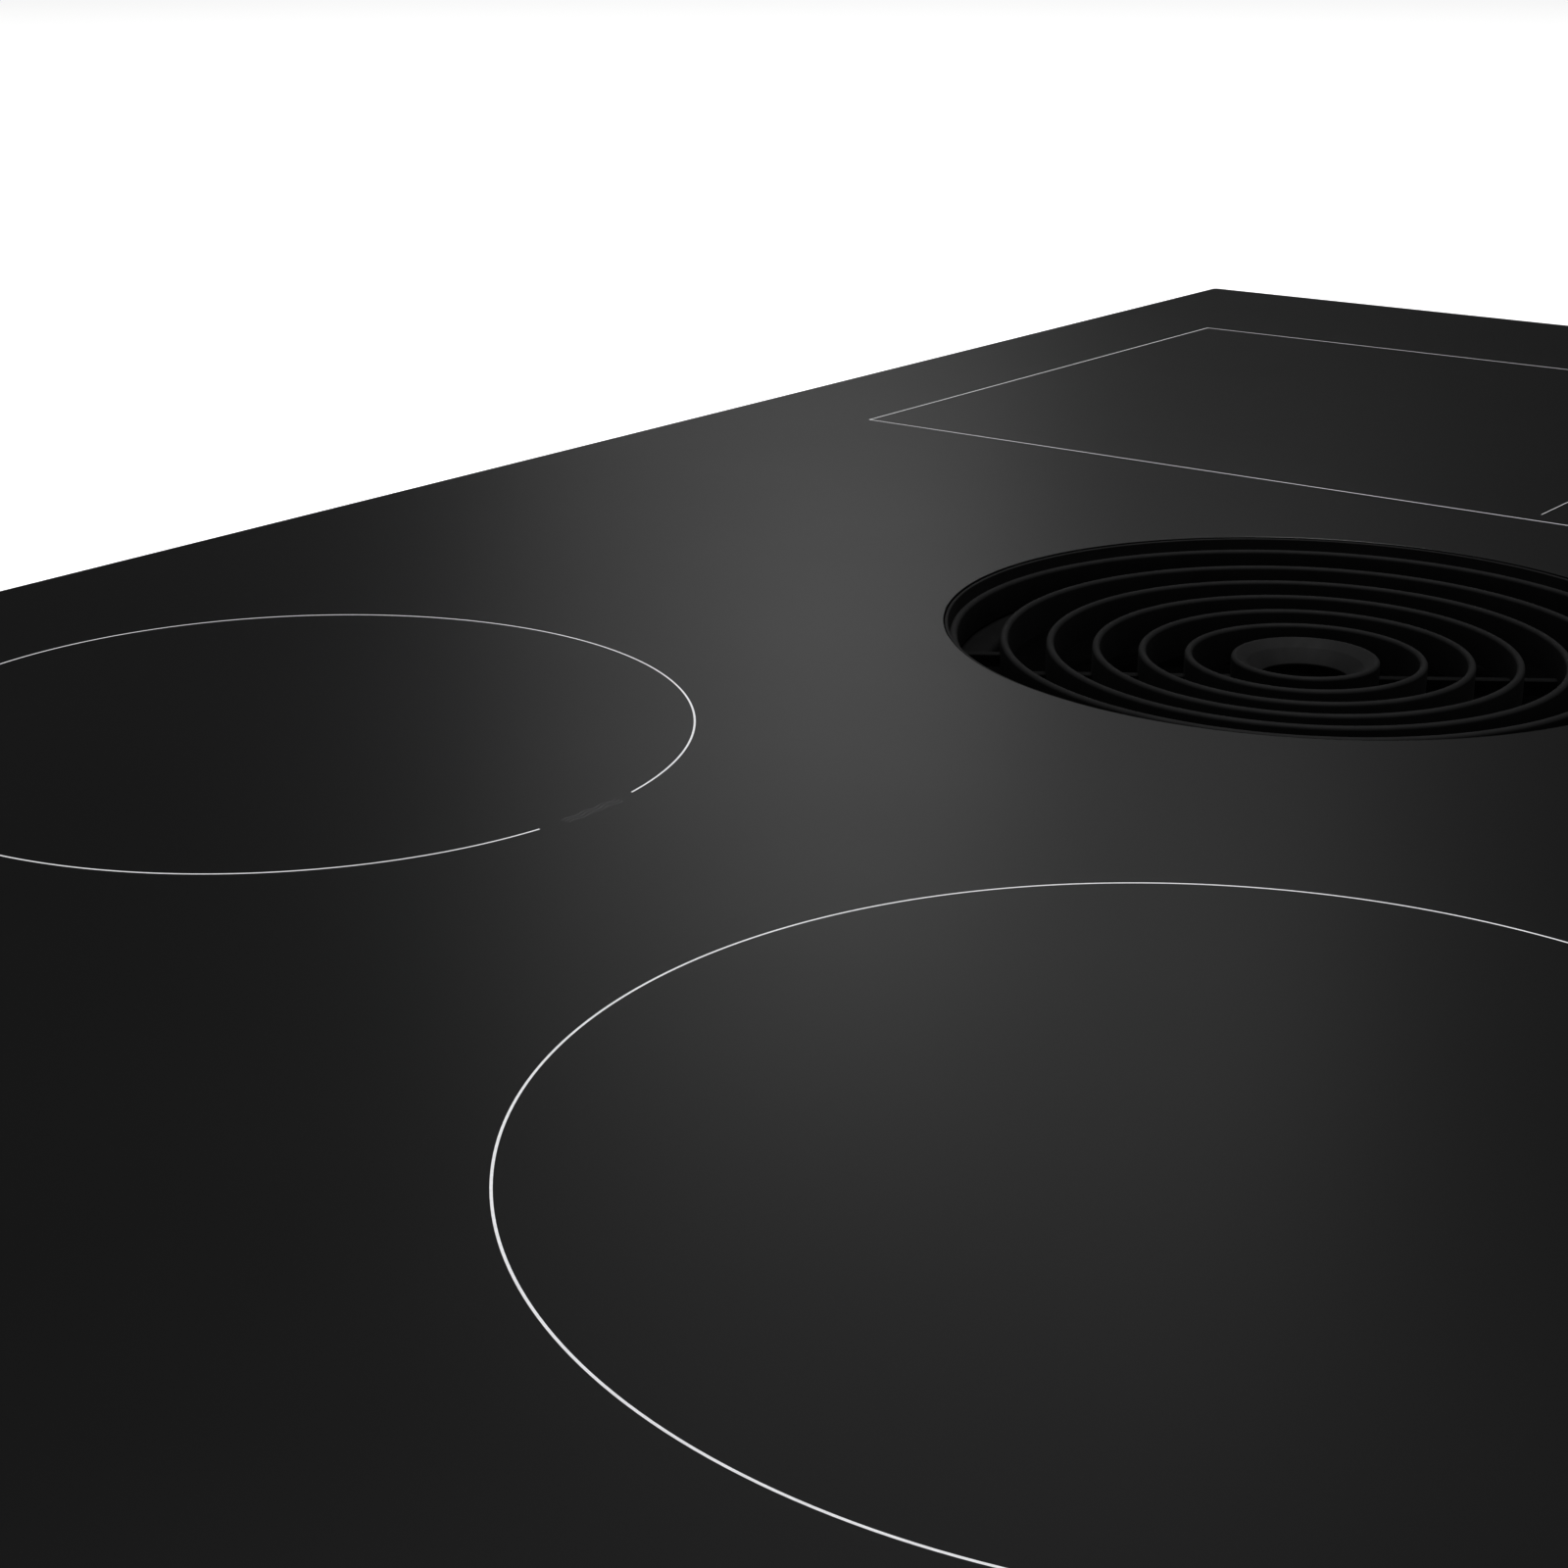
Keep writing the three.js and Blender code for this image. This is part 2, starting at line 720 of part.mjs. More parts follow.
function filterGeometry() {
  const outer = cartridgeInner - 2 * GAP;
  const low = cartridgeFloor + GAP;
  return slab(pleats(outer, PLEAT_DEPTH), low, low + FILTER_HEIGHT, [
    pleats(outer - PLEAT_THICKNESS, PLEAT_DEPTH),
  ]);
}

function cupGeometry() {
  const outer = CARTRIDGE_FLOOR_OPENING - LIFT_CLEARANCE;
  const rimLow = cartridgeFloor + GAP;
  const bottom = rimLow - CUP_DEPTH;
  return turned(
    [
      [0, bottom],
      [outer, bottom],
      [outer, rimLow],
      [outer + CUP_RIM, rimLow],
      [outer + CUP_RIM, rimLow + CUP_WALL],
      [outer - CUP_WALL, rimLow + CUP_WALL],
      [outer - CUP_WALL, bottom + CUP_WALL],
      [0, bottom + CUP_WALL],
    ],
    COARSE,
  );
}

// ---------------------------------------------------------------- extractor
const boxOutline = (inset) =>
  roundRect(
    (boxRight - boxLeft) / 2 - inset,
    (BOX_REAR - boxFront) / 2 - inset,
    BOX_CORNER - inset,
    3,
    (boxLeft + boxRight) / 2,
    (boxFront + BOX_REAR) / 2,
  );

function upperShellGeometry() {
  const top = TRAY_BOTTOM - GAP;
  const shell = cut(
    slab(boxOutline(0), BOX_SPLIT, top),
    slab(boxOutline(BOX_SHEET), BOX_SPLIT - PAST, top - BOX_SHEET),
    cylinder(wellInner, BOX_SPLIT, top + PAST, FINE),
  );
  const wellTop = glassLow - GAP - COLLAR_SHEET - GAP;
  const well = slab(circle(wellOuter, FINE), top - BOX_SHEET, wellTop, [
    circle(wellInner, FINE),
  ]);
  return join(shell, well);
}

function lowerPanGeometry() {
  const top = BOX_SPLIT - GAP;
  return cut(
    slab(boxOutline(0), BOX_BOTTOM, top),
    slab(boxOutline(BOX_SHEET), panFloor, top + PAST),
    slabAlongY(
      roundRect(
        DUCT_WIDTH / 2 - DUCT_WALL,
        DUCT_HEIGHT / 2 - DUCT_WALL,
        DUCT_CORNER,
        2,
        ductCentreX,
        ductCentreZ,
      ),
      BOX_REAR - 2 * BOX_SHEET,
      BOX_REAR + PAST,
    ),
  );
}

// Spiral of the scroll, from its tongue clockwise to the side where the air leaves.
function spiral(extra) {
  const count = 26;
  return Array.from({ length: count + 1 }, (_, i) => {
    const turn = i / count;
    const angle = SCROLL_TONGUE - SCROLL_TURN * turn;
    const radius = scrollStart + SCROLL_GROWTH * turn + extra;
    return new THREE.Vector2(
      fanX + radius * Math.cos(angle),
      FAN_Y + radius * Math.sin(angle),
    );
  });
}

const scrollRear = BOX_REAR - BOX_SHEET - GAP;
const diffuserStart = new THREE.Vector2(
  fanX + scrollStart * Math.cos(SCROLL_TONGUE),
  FAN_Y + scrollStart * Math.sin(SCROLL_TONGUE),
);
const diffuserEnd = new THREE.Vector2(
  ductCentreX + DUCT_WIDTH / 2 - DUCT_WALL,
  scrollRear,
);

// Plan of the channel from the scroll to the duct.
function channel(extra) {
  const run = diffuserEnd.clone().sub(diffuserStart).normalize();
  const left = fanX - scrollEnd - extra;
  const wall = diffuserStart
    .clone()
    .add(new THREE.Vector2(run.y, -run.x).multiplyScalar(extra));
  return [
    new THREE.Vector2(left, FAN_Y),
    new THREE.Vector2(fanX, FAN_Y),
    wall,
    new THREE.Vector2(diffuserEnd.x + extra / run.y, scrollRear),
    new THREE.Vector2(left, scrollRear),
  ];
}

const scrollPlan = (extra, low, high) =>
  join(slab(spiral(extra), low, high), slab(channel(extra), low, high));

const pinRod = (radius) =>
  slabAlongX(
    circle(radius, SMALL, FLAP_Y, scrollInnerTop - KNUCKLE_RADIUS - FLAP_CLEARANCE),
    fanX - scrollEnd - SCROLL_WALL + GAP,
    flapRight + FLAP_CLEARANCE + 2 * SCROLL_WALL,
  );

function scrollHousingGeometry() {
  return cut(
    scrollPlan(SCROLL_WALL, scrollBottom, scrollInnerTop - GAP),
    scrollPlan(0, scrollBottom - PAST, SCROLL_TOP),
    pinRod(PIN_RADIUS + GAP),
  );
}

function scrollLidGeometry() {
  const plate = cut(
    scrollPlan(SCROLL_WALL, scrollInnerTop, SCROLL_TOP),
    cylinder(BELLMOUTH_RADIUS, scrollInnerTop - PAST, SCROLL_TOP + PAST).translate(
      fanX,
      FAN_Y,
      0,
    ),
  );
  const lip = turned(
    [
      [BELLMOUTH_RADIUS, scrollInnerTop],
      [BELLMOUTH_RADIUS, SCROLL_TOP + BELLMOUTH_RISE / 2],
      [BELLMOUTH_RADIUS + BELLMOUTH_RISE, SCROLL_TOP + BELLMOUTH_RISE],
      [BELLMOUTH_RADIUS + SCROLL_WALL, SCROLL_TOP],
      [BELLMOUTH_RADIUS + SCROLL_WALL, scrollInnerTop],
    ],
    COARSE,
  ).translate(fanX, FAN_Y, 0);
  return join(plate, lip);
}

// The fan's parts are drawn about its own axis.
const motorTop = scrollBottom + MOTOR_HEIGHT;
const impellerLow = scrollBottom + SCROLL_CLEARANCE;
const impellerHigh = impellerLow + IMPELLER_HEIGHT;

function motorGeometry() {
  return turned(
    [
      [0, scrollBottom],
      [MOTOR_RADIUS + MOTOR_FLANGE, scrollBottom],
      [MOTOR_RADIUS + MOTOR_FLANGE, scrollBottom + MOTOR_FLANGE],
      [MOTOR_RADIUS, scrollBottom + MOTOR_FLANGE],
      [MOTOR_RADIUS, motorTop - MOTOR_FLANGE],
      [MOTOR_RADIUS - MOTOR_FLANGE, motorTop],
      [SHAFT_RADIUS, motorTop],
      [SHAFT_RADIUS, motorTop + SHAFT_LENGTH],
      [0, motorTop + SHAFT_LENGTH],
    ],
    COARSE,
  );
}

function impellerGeometry() {
  const inner = IMPELLER_RADIUS - BLADE_CHORD;
  const hubLow = motorTop + SCROLL_CLEARANCE / 2;
  const domeRadius = MOTOR_RADIUS + SCROLL_CLEARANCE;
  const hat = turned(
    [
      [IMPELLER_RADIUS, impellerLow],
      [IMPELLER_RADIUS, impellerLow + IMPELLER_SHEET],
      [domeRadius + IMPELLER_SHEET, impellerLow + IMPELLER_SHEET],
      [domeRadius + IMPELLER_SHEET, hubLow],
      [domeRadius, hubLow + IMPELLER_SHEET],
      [SHAFT_RADIUS + GAP, hubLow + IMPELLER_SHEET],
      [SHAFT_RADIUS + GAP, hubLow],
      [domeRadius, hubLow],
      [domeRadius, impellerLow],
    ],
    COARSE,
  );
  const topRing = slab(
    circle(IMPELLER_RADIUS, COARSE),
    impellerHigh - IMPELLER_SHEET,
    impellerHigh,
    [circle(inner, COARSE)],
  );
  const blades = Array.from({ length: BLADE_COUNT }, (_, i) =>
    block(
      inner + SINK,
      IMPELLER_RADIUS - SINK,
      -BLADE_THICKNESS / 2,
      BLADE_THICKNESS / 2,
      impellerLow + IMPELLER_SHEET / 2,
      impellerHigh - IMPELLER_SHEET / 2,
    )
      .translate(0, -BLADE_SETBACK, 0)
      .rotateZ((2 * Math.PI * i) / BLADE_COUNT),
  );
  return join(hat, topRing, ...blades);
}

function spigotGeometry() {
  const outline = (extra) =>
    roundRect(
      DUCT_WIDTH / 2 + extra,
      DUCT_HEIGHT / 2 + extra,
      DUCT_CORNER,
      2,
      ductCentreX,
      ductCentreZ,
    );
  const flangeLow = BOX_REAR + GAP;
  const bore = outline(-DUCT_WALL);
  return join(
    slabAlongY(outline(DUCT_FLANGE), flangeLow, flangeLow + DUCT_WALL, [bore]),
    slabAlongY(outline(0), flangeLow, flangeLow + DUCT_LENGTH, [bore]),
  );
}

const flapLeft = fanX - scrollEnd + FLAP_CLEARANCE;
const flapRight =
  diffuserStart.x +
  ((FLAP_Y - diffuserStart.y) * (diffuserEnd.x - diffuserStart.x)) /
    (diffuserEnd.y - diffuserStart.y) -
  2 * FLAP_CLEARANCE -
  KNUCKLE_RADIUS;

function flapGeometry() {
  const pinZ = scrollInnerTop - KNUCKLE_RADIUS - FLAP_CLEARANCE;
  const knuckle = slabAlongX(
    circle(KNUCKLE_RADIUS, SMALL, FLAP_Y, pinZ),
    flapLeft,
    flapRight,
  );
  const leaf = block(
    flapLeft,
    flapRight,
    FLAP_Y - FLAP_SHEET / 2,
    FLAP_Y + FLAP_SHEET / 2,
    scrollBottom + FLAP_CLEARANCE,
    pinZ,
  );
  return cut(join(knuckle, leaf), pinRod(PIN_RADIUS + GAP));
}

// ---------------------------------------------------------------- induction coils
const zoneOutline = (zone, grow) =>
  zone.half
    ? roundRect(zone.half + grow, zone.half + grow, BRIDGE_CORNER)
    : circle(zone.radius + grow, FINE);

const zoneHole = (zone) =>
  zone.half
    ? roundRect(BRIDGE_COIL_HOLE, BRIDGE_COIL_HOLE, BRIDGE_CORNER / 2, 3)
    : circle(ROUND_COIL_HOLE, COARSE);

function ferriteStarGeometry(zone) {
  const reach = (zone.half ?? zone.radius) - FERRITE_INSET;
  const hub = slab(circle(FERRITE_HUB_RADIUS, SMALL), ferriteLow, ferriteTop, [
    circle(SENSOR_RADIUS + LIFT_CLEARANCE, SMALL),
  ]);
  const bars = Array.from({ length: FERRITE_BARS }, (_, i) =>
    block(
      2 * SENSOR_RADIUS,
      reach,
      -FERRITE_WIDTH / 2,
      FERRITE_WIDTH / 2,
      ferriteLow,
      ferriteTop,
    ).rotateZ((2 * Math.PI * i) / FERRITE_BARS),
  );
  return join(hub, ...bars);
}

function addCoil(name, zone) {
  const group = assembly(zone.x, zone.y);
  add(
    group,
    `coil_winding_${name}`,
    slab(zoneOutline(zone, -WINDING_INSET), windingLow, windingTop, [
      zoneHole(zone),
    ]),
    materials.copper,
  );
  add(
    group,
    `coil_former_${name}`,
    slab(zoneOutline(zone, 0), formerLow, formerTop, [
      circle(SENSOR_RADIUS + LIFT_CLEARANCE, SMALL),
    ]),
    materials.greyPlastic,
  );
  add(
    group,
    `ferrite_star_${name}`,
    ferriteStarGeometry(zone),
    materials.ferrite,
  );
  add(
    group,
    `temperature_sensor_${name}`,
    cylinder(SENSOR_RADIUS, carrierTop + GAP, glassLow - GAP, SMALL),
    materials.aluminium,
  );
}

function coilCarrierGeometry(side) {
  const x0 = CARRIER_INNER_X;
  const x1 = trayX - CARRIER_SIDE_MARGIN;
  const y1 = trayY - CARRIER_END_MARGIN;
  const plate = slab(
    roundRect((x1 - x0) / 2, y1, CARRIER_CORNER, 2, (side * (x0 + x1)) / 2),
    carrierLow,
    carrierTop,
  );
  const legs = [];
  for (const x of [x0, x1 - CARRIER_LEG]) {
    const legY = y1 - CARRIER_LEG_INSET;
    for (const y of [-legY, legY - CARRIER_LEG_LENGTH]) {
      legs.push(
        block(
          side > 0 ? x : -x - CARRIER_LEG,
          side > 0 ? x + CARRIER_LEG : -x,
          y,
          y + CARRIER_LEG_LENGTH,
          insideFloor,
          carrierLow + CARRIER_SHEET / 2,
        ),
      );
    }
  }
  return join(plate, ...legs);
}

// ---------------------------------------------------------------- electronics
// A circuit board on four posts. Its components are [x, y, half x, half y, height]:
// the first four as shares of the board's half sizes, the last of the room above it.
function boardGeometry(halfX, halfY, components) {
  const pieces = [
    block(-halfX, halfX, -halfY, halfY, boardTop - BOARD_THICKNESS, boardTop),
  ];
  for (const sx of [-1, 1]) {
    for (const sy of [-1, 1]) {
      pieces.push(
        cylinder(POST_RADIUS, insideFloor, boardTop - SINK, SMALL).translate(
          sx * (halfX - POST_INSET),
          sy * (halfY - POST_INSET),
          0,
        ),
      );
    }
  }
  for (const [x, y, hx, hy, height] of components) {
    pieces.push(
      block(
        (x - hx) * halfX,
        (x + hx) * halfX,
        (y - hy) * halfY,
        (y + hy) * halfY,
        boardTop - SINK,
        boardTop + height * boardRoom,
      ),
    );
  }
  return join(...pieces);
}

function heatsinkGeometry(length) {
  const half = ((FIN_COUNT - 1) * FIN_PITCH) / 2;
  const fin = FIN_THICKNESS / 2;
  const pieces = [
    block(
      -length / 2,
      length / 2,
      -half - fin,
      half + fin,
      insideFloor,
      insideFloor + HEATSINK_BASE,
    ),
  ];
  for (let i = 0; i < FIN_COUNT; i++) {
    const y = -half + i * FIN_PITCH;
    pieces.push(
      block(
        -length / 2,
        length / 2,
        y - fin,
        y + fin,
        insideFloor + HEATSINK_BASE / 2,
        carrierLow - HEATSINK_HEADROOM,
      ),
    );
  }
  return join(...pieces);
}

function coolerFrameGeometry() {
  const half = COOLER_SIZE / 2;
  const top = insideFloor + COOLER_HEIGHT;
  const armTop = insideFloor + COOLER_ARM_HEIGHT;
  const shell = slab(roundRect(half, half, COOLER_CORNER, 2), insideFloor, top, [
    circle(COOLER_BORE, COARSE),
  ]);
  const stator = cylinder(COOLER_STATOR, insideFloor, armTop, SMALL);
  const shaft = cylinder(COOLER_SHAFT, insideFloor, top - 2 * PAST, SMALL);
  const arms = Array.from({ length: COOLER_ARM_COUNT }, (_, i) =>
    block(
      COOLER_SHAFT,
      COOLER_BORE + PAST,
      -COOLER_ARM_WIDTH / 2,
      COOLER_ARM_WIDTH / 2,
      insideFloor,
      armTop,
    ).rotateZ((2 * Math.PI * i) / COOLER_ARM_COUNT),
  );
  return join(shell, stator, shaft, ...arms);
}

function coolerRotorGeometry() {
  const low = insideFloor + COOLER_ARM_HEIGHT + LIFT_CLEARANCE;
  const high = insideFloor + COOLER_HEIGHT - LIFT_CLEARANCE;
  const hub = slab(circle(COOLER_HUB, COARSE), low, high, [
    circle(COOLER_SHAFT + GAP, SMALL),
  ]);
  const chord = COOLER_BLADE_CHORD / 2;
  const thickness = COOLER_BLADE_THICKNESS / 2;
  const blades = Array.from({ length: COOLER_BLADES }, (_, i) =>
    block(
      COOLER_HUB - 2 * SINK,
      COOLER_BORE - COOLER_TIP_GAP,
      -chord,
      chord,
      -thickness,
      thickness,
    )
      .rotateX(COOLER_BLADE_TILT)
      .translate(0, 0, (low + high) / 2)
      .rotateZ((2 * Math.PI * i) / COOLER_BLADES),
  );
  return join(hub, ...blades);
}

function glandGeometry() {
  const flangeTop = TRAY_BOTTOM - GAP;
  return turned(
    [
      [GLAND_BORE, trayFloor + GLAND_INSIDE],
      [GLAND_RADIUS, trayFloor + GLAND_INSIDE],
      [GLAND_RADIUS, flangeTop],
      [GLAND_FLANGE, flangeTop],
      [GLAND_FLANGE, flangeTop - GLAND_NUT],
      [GLAND_RADIUS + GLAND_TAPER / 2, flangeTop - GLAND_NUT - 1],
      [GLAND_RADIUS - GLAND_TAPER, flangeTop - GLAND_REACH],
      [GLAND_BORE, flangeTop - GLAND_REACH],
    ],
    COARSE,
  );
}

function terminalBlockGeometry() {
  const top = insideFloor + TERMINAL_HEIGHT;
  const body = block(
    -TERMINAL_HALF_X,
    TERMINAL_HALF_X,
    -TERMINAL_HALF_Y,
    TERMINAL_HALF_Y,
    insideFloor,
    top,
  );
  const pitch = (2 * TERMINAL_HALF_X) / TERMINAL_COUNT;
  const screws = Array.from({ length: TERMINAL_COUNT }, (_, i) =>
    cylinder(
      TERMINAL_SCREW_RADIUS,
      top - TERMINAL_SCREW_DEPTH,
      top + PAST,
      SMALL,
    ).translate(
      (i - (TERMINAL_COUNT - 1) / 2) * pitch,
      -TERMINAL_SCREW_AHEAD,
      0,
    ),
  );
  return cut(body, ...screws);
}

function terminalCoverGeometry() {
  const wall = COVER_WALL;
  const halfX = TERMINAL_HALF_X + 2 * wall;
  const halfY = TERMINAL_HALF_Y + 2 * wall;
  const top = insideFloor + TERMINAL_HEIGHT + 2 * wall;
  return cut(
    block(-halfX, halfX, -halfY, halfY, insideFloor, top),
    block(
      -halfX + wall,
      halfX - wall,
      -halfY + wall,
      halfY - wall,
      insideFloor - PAST,
      top - wall,
    ),
    block(
      -COVER_SLOT,
      COVER_SLOT,
      halfY - 2 * wall,
      halfY + PAST,
      insideFloor - PAST,
      top - COVER_SLOT_DROP,
    ),
  );
}

function controlCarrierGeometry() {
  const top = glassLow - GAP - BOARD_THICKNESS - GAP;
  const low = top - TROUGH_DEPTH;
  const wall = COVER_WALL;
  const trough = cut(
    block(
      -CONTROL_HALF_X,
      CONTROL_HALF_X,
      -CONTROL_HALF_Y,
      CONTROL_HALF_Y,
      low,
      top,
    ),
    block(
      -CONTROL_HALF_X + wall,
      CONTROL_HALF_X - wall,
      -CONTROL_HALF_Y + wall,
      CONTROL_HALF_Y - wall,
      low + wall,
      top + PAST,
    ),
  );
  const posts = [-1, 1].map((side) =>
    cylinder(POST_RADIUS, insideFloor, low + wall / 2, SMALL).translate(
      side * (CONTROL_HALF_X - CONTROL_POST_INSET),
      0,
      0,
    ),
  );
  return join(trough, ...posts).translate(0, controlY, 0);
}

function touchBoardGeometry() {
  const high = glassLow - GAP;
  return block(
    -CONTROL_HALF_X,
    CONTROL_HALF_X,
    controlY - CONTROL_HALF_Y,
    controlY + CONTROL_HALF_Y,
    high - BOARD_THICKNESS,
    high,
  );
}

function ribbonGeometry() {
  const y = controlY + CONTROL_HALF_Y + RIBBON_BEHIND;
  const low = insideFloor + RIBBON_LIFT;
  const route = new THREE.CatmullRomCurve3([
    new THREE.Vector3(0, y, carrierLow),
    new THREE.Vector3(0, y, low + 3 * RIBBON_LIFT),
    new THREE.Vector3(-8, y + 2, low),
    new THREE.Vector3(-40, y + 8, low),
    new THREE.Vector3(-CONTROL_HALF_X, y + 20, low),
  ]);
  return new THREE.ExtrudeGeometry(new THREE.Shape(circle(RIBBON_RADIUS, 6)), {
    steps: 12,
    extrudePath: route,
  });
}

// ---------------------------------------------------------------- worktop fixings
const screwX = frameX + SCREW_OUTSIDE_FRAME;
const bracketTop = TRAY_BOTTOM - GAP;
const bracketLow = bracketTop - BRACKET_SHEET;
const nutLow = bracketLow - NUT_DEPTH;
const footTop = -WORKTOP_THICKNESS;

function bracketGeometry(side) {
  const outer = screwX + FOOT_RADIUS + LIFT_CLEARANCE;
  const centre = outer - BRACKET_LENGTH / 2;
  const plate = slab(
    roundRect(
      BRACKET_LENGTH / 2,
      BRACKET_WIDTH / 2,
      BRACKET_CORNER,
      2,
      side * centre,
    ),
    bracketLow,
    bracketTop,
  );
  const nut = cylinder(FOOT_RADIUS, nutLow, bracketTop, 6).translate(
    side * screwX,
    0,
    0,
  );
  const hole = cylinder(
    SCREW_RADIUS + GAP,
    nutLow - PAST,
    bracketTop + PAST,
    SMALL,
  ).translate(side * screwX, 0, 0);
  return cut(join(plate, nut), hole);
}

function clampScrewGeometry() {
  const headTop = nutLow - CLAMP_RISE - LIFT_CLEARANCE;
  return turned(
    [
      [0, headTop - SCREW_HEAD],
      [SCREW_HEAD_RADIUS, headTop - SCREW_HEAD],
      [SCREW_HEAD_RADIUS, headTop],
      [SCREW_RADIUS, headTop],
      [SCREW_RADIUS, footTop - FOOT_THICKNESS],
      [FOOT_RADIUS, footTop - FOOT_THICKNESS],
      [FOOT_RADIUS, footTop],
      [0, footTop],
    ],
    SMALL,
  );
}

// ---------------------------------------------------------------- the assembly
const surface = assembly();
add(surface, "glass_top", glassTopGeometry(), materials.glassCeramic);
add(surface, "worktop_seal", sealGeometry(), materials.silicone);
add(surface, "carrier_frame", frameGeometry(), materials.aluminium);
add(surface, "base_tray", trayGeometry(), materials.galvanised);

const inlet = assembly();
add(inlet, "inlet_collar", collarGeometry(), materials.blackEnamel);
add(inlet, "inlet_grille", grilleGeometry(), materials.blackEnamel);
add(inlet, "filter_cartridge", cartridgeGeometry(), materials.blackEnamel);
add(inlet, "grease_filter", filterGeometry(), materials.stainless);
add(inlet, "drip_cup", cupGeometry(), materials.blackPlastic);

const extractor = assembly();
add(
  extractor,
  "extractor_mounting_plate",
  plateGeometry(),
  materials.galvanised,
);
add(
  extractor,
  "extractor_upper_shell",
  upperShellGeometry(),
  materials.blackPlastic,
);
add(extractor, "extractor_lower_pan", lowerPanGeometry(), materials.galvanised);
add(extractor, "scroll_housing", scrollHousingGeometry(), materials.greyPlastic);
add(extractor, "scroll_lid", scrollLidGeometry(), materials.greyPlastic);
add(extractor, "outlet_spigot", spigotGeometry(), materials.blackPlastic);
add(extractor, "backdraft_flap", flapGeometry(), materials.aluminium);
add(extractor, "flap_pin", pinRod(PIN_RADIUS), materials.steel);

const fan = assembly(fanX, FAN_Y);
add(fan, "fan_motor", motorGeometry(), materials.steel);
add(fan, "impeller", impellerGeometry(), materials.blackPlastic);

for (const [name, zone] of Object.entries(ZONES)) addCoil(name, zone);

const POWER_PARTS = [
  [-0.67, 0.44, 0.13, 0.32, 0.66],
  [-0.29, 0.59, 0.17, 0.2, 0.48],
  [0.19, 0.5, 0.21, 0.3, 0.76],
  [0.65, 0.44, 0.11, 0.35, 0.6],
  [-0.53, -0.5, 0.19, 0.18, 0.36],
  [0.1, -0.56, 0.29, 0.15, 0.24],
];
const FILTER_PARTS = [
  [-0.62, 0, 0.25, 0.6, 0.7],
  [0, 0.2, 0.22, 0.45, 0.6],
  [0.6, -0.1, 0.2, 0.55, 0.54],
];
for (const [side, word] of [[-1, "left"], [1, "right"]]) {
  const x = side * sideCentre;
  const halfLength = trayX - sideCentre - BOARD_SIDE_MARGIN;
  add(
    assembly(),
    `coil_carrier_${word}`,
    coilCarrierGeometry(side),
    materials.aluminium,
  );
  add(
    assembly(x, BOARD_Y),
    `power_board_${word}`,
    boardGeometry(halfLength, BOARD_HALF_DEPTH, POWER_PARTS),
    materials.circuitBoard,
  );
  add(
    assembly(x, HEATSINK_Y),
    `heatsink_${word}`,
    heatsinkGeometry(2 * halfLength),
    materials.aluminium,
  );
  const cooler = assembly(side * COOLER_X, COOLER_Y);
  add(
    cooler,
    `cooling_fan_frame_${word}`,
    coolerFrameGeometry(),
    materials.blackPlastic,
  );
  add(
    cooler,
    `cooling_fan_rotor_${word}`,
    coolerRotorGeometry(),
    materials.blackPlastic,
  );
}

const supply = assembly(GLAND_X, terminalY);
add(supply, "terminal_block", terminalBlockGeometry(), materials.greyPlastic);
add(supply, "terminal_cover", terminalCoverGeometry(), materials.blackPlastic);
add(
  assembly(GLAND_X, glandY),
  "cable_gland",
  glandGeometry(),
  materials.blackPlastic,
);
add(
  assembly(0, FILTER_BOARD_Y),
  "mains_filter_board",
  boardGeometry(FILTER_BOARD_HALF_X, FILTER_BOARD_HALF_Y, FILTER_PARTS),
  materials.circuitBoard,
);

const controls = assembly();
add(
  controls,
  "touch_control_board",
  touchBoardGeometry(),
  materials.circuitBoard,
);
add(
  controls,
  "control_carrier",
  controlCarrierGeometry(),
  materials.blackPlastic,
);
add(controls, "control_ribbon", ribbonGeometry(), materials.greyPlastic);

for (const [sx, wordX] of [[-1, "left"], [1, "right"]]) {
  for (const [sy, wordY] of [[-1, "front"], [1, "rear"]]) {
    const corner = `${wordY}_${wordX}`;
    add(
      assembly(0, sy * BRACKET_Y),
      `fixing_bracket_${corner}`,
      bracketGeometry(sx),
      materials.galvanised,
    );
    add(
      assembly(sx * screwX, sy * BRACKET_Y),
      `clamp_screw_${corner}`,
      clampScrewGeometry(),
      materials.steel,
    );
  }
}

export default cooktop;
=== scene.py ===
import json
import math

import bmesh
import bpy
from mathutils import Matrix, Vector


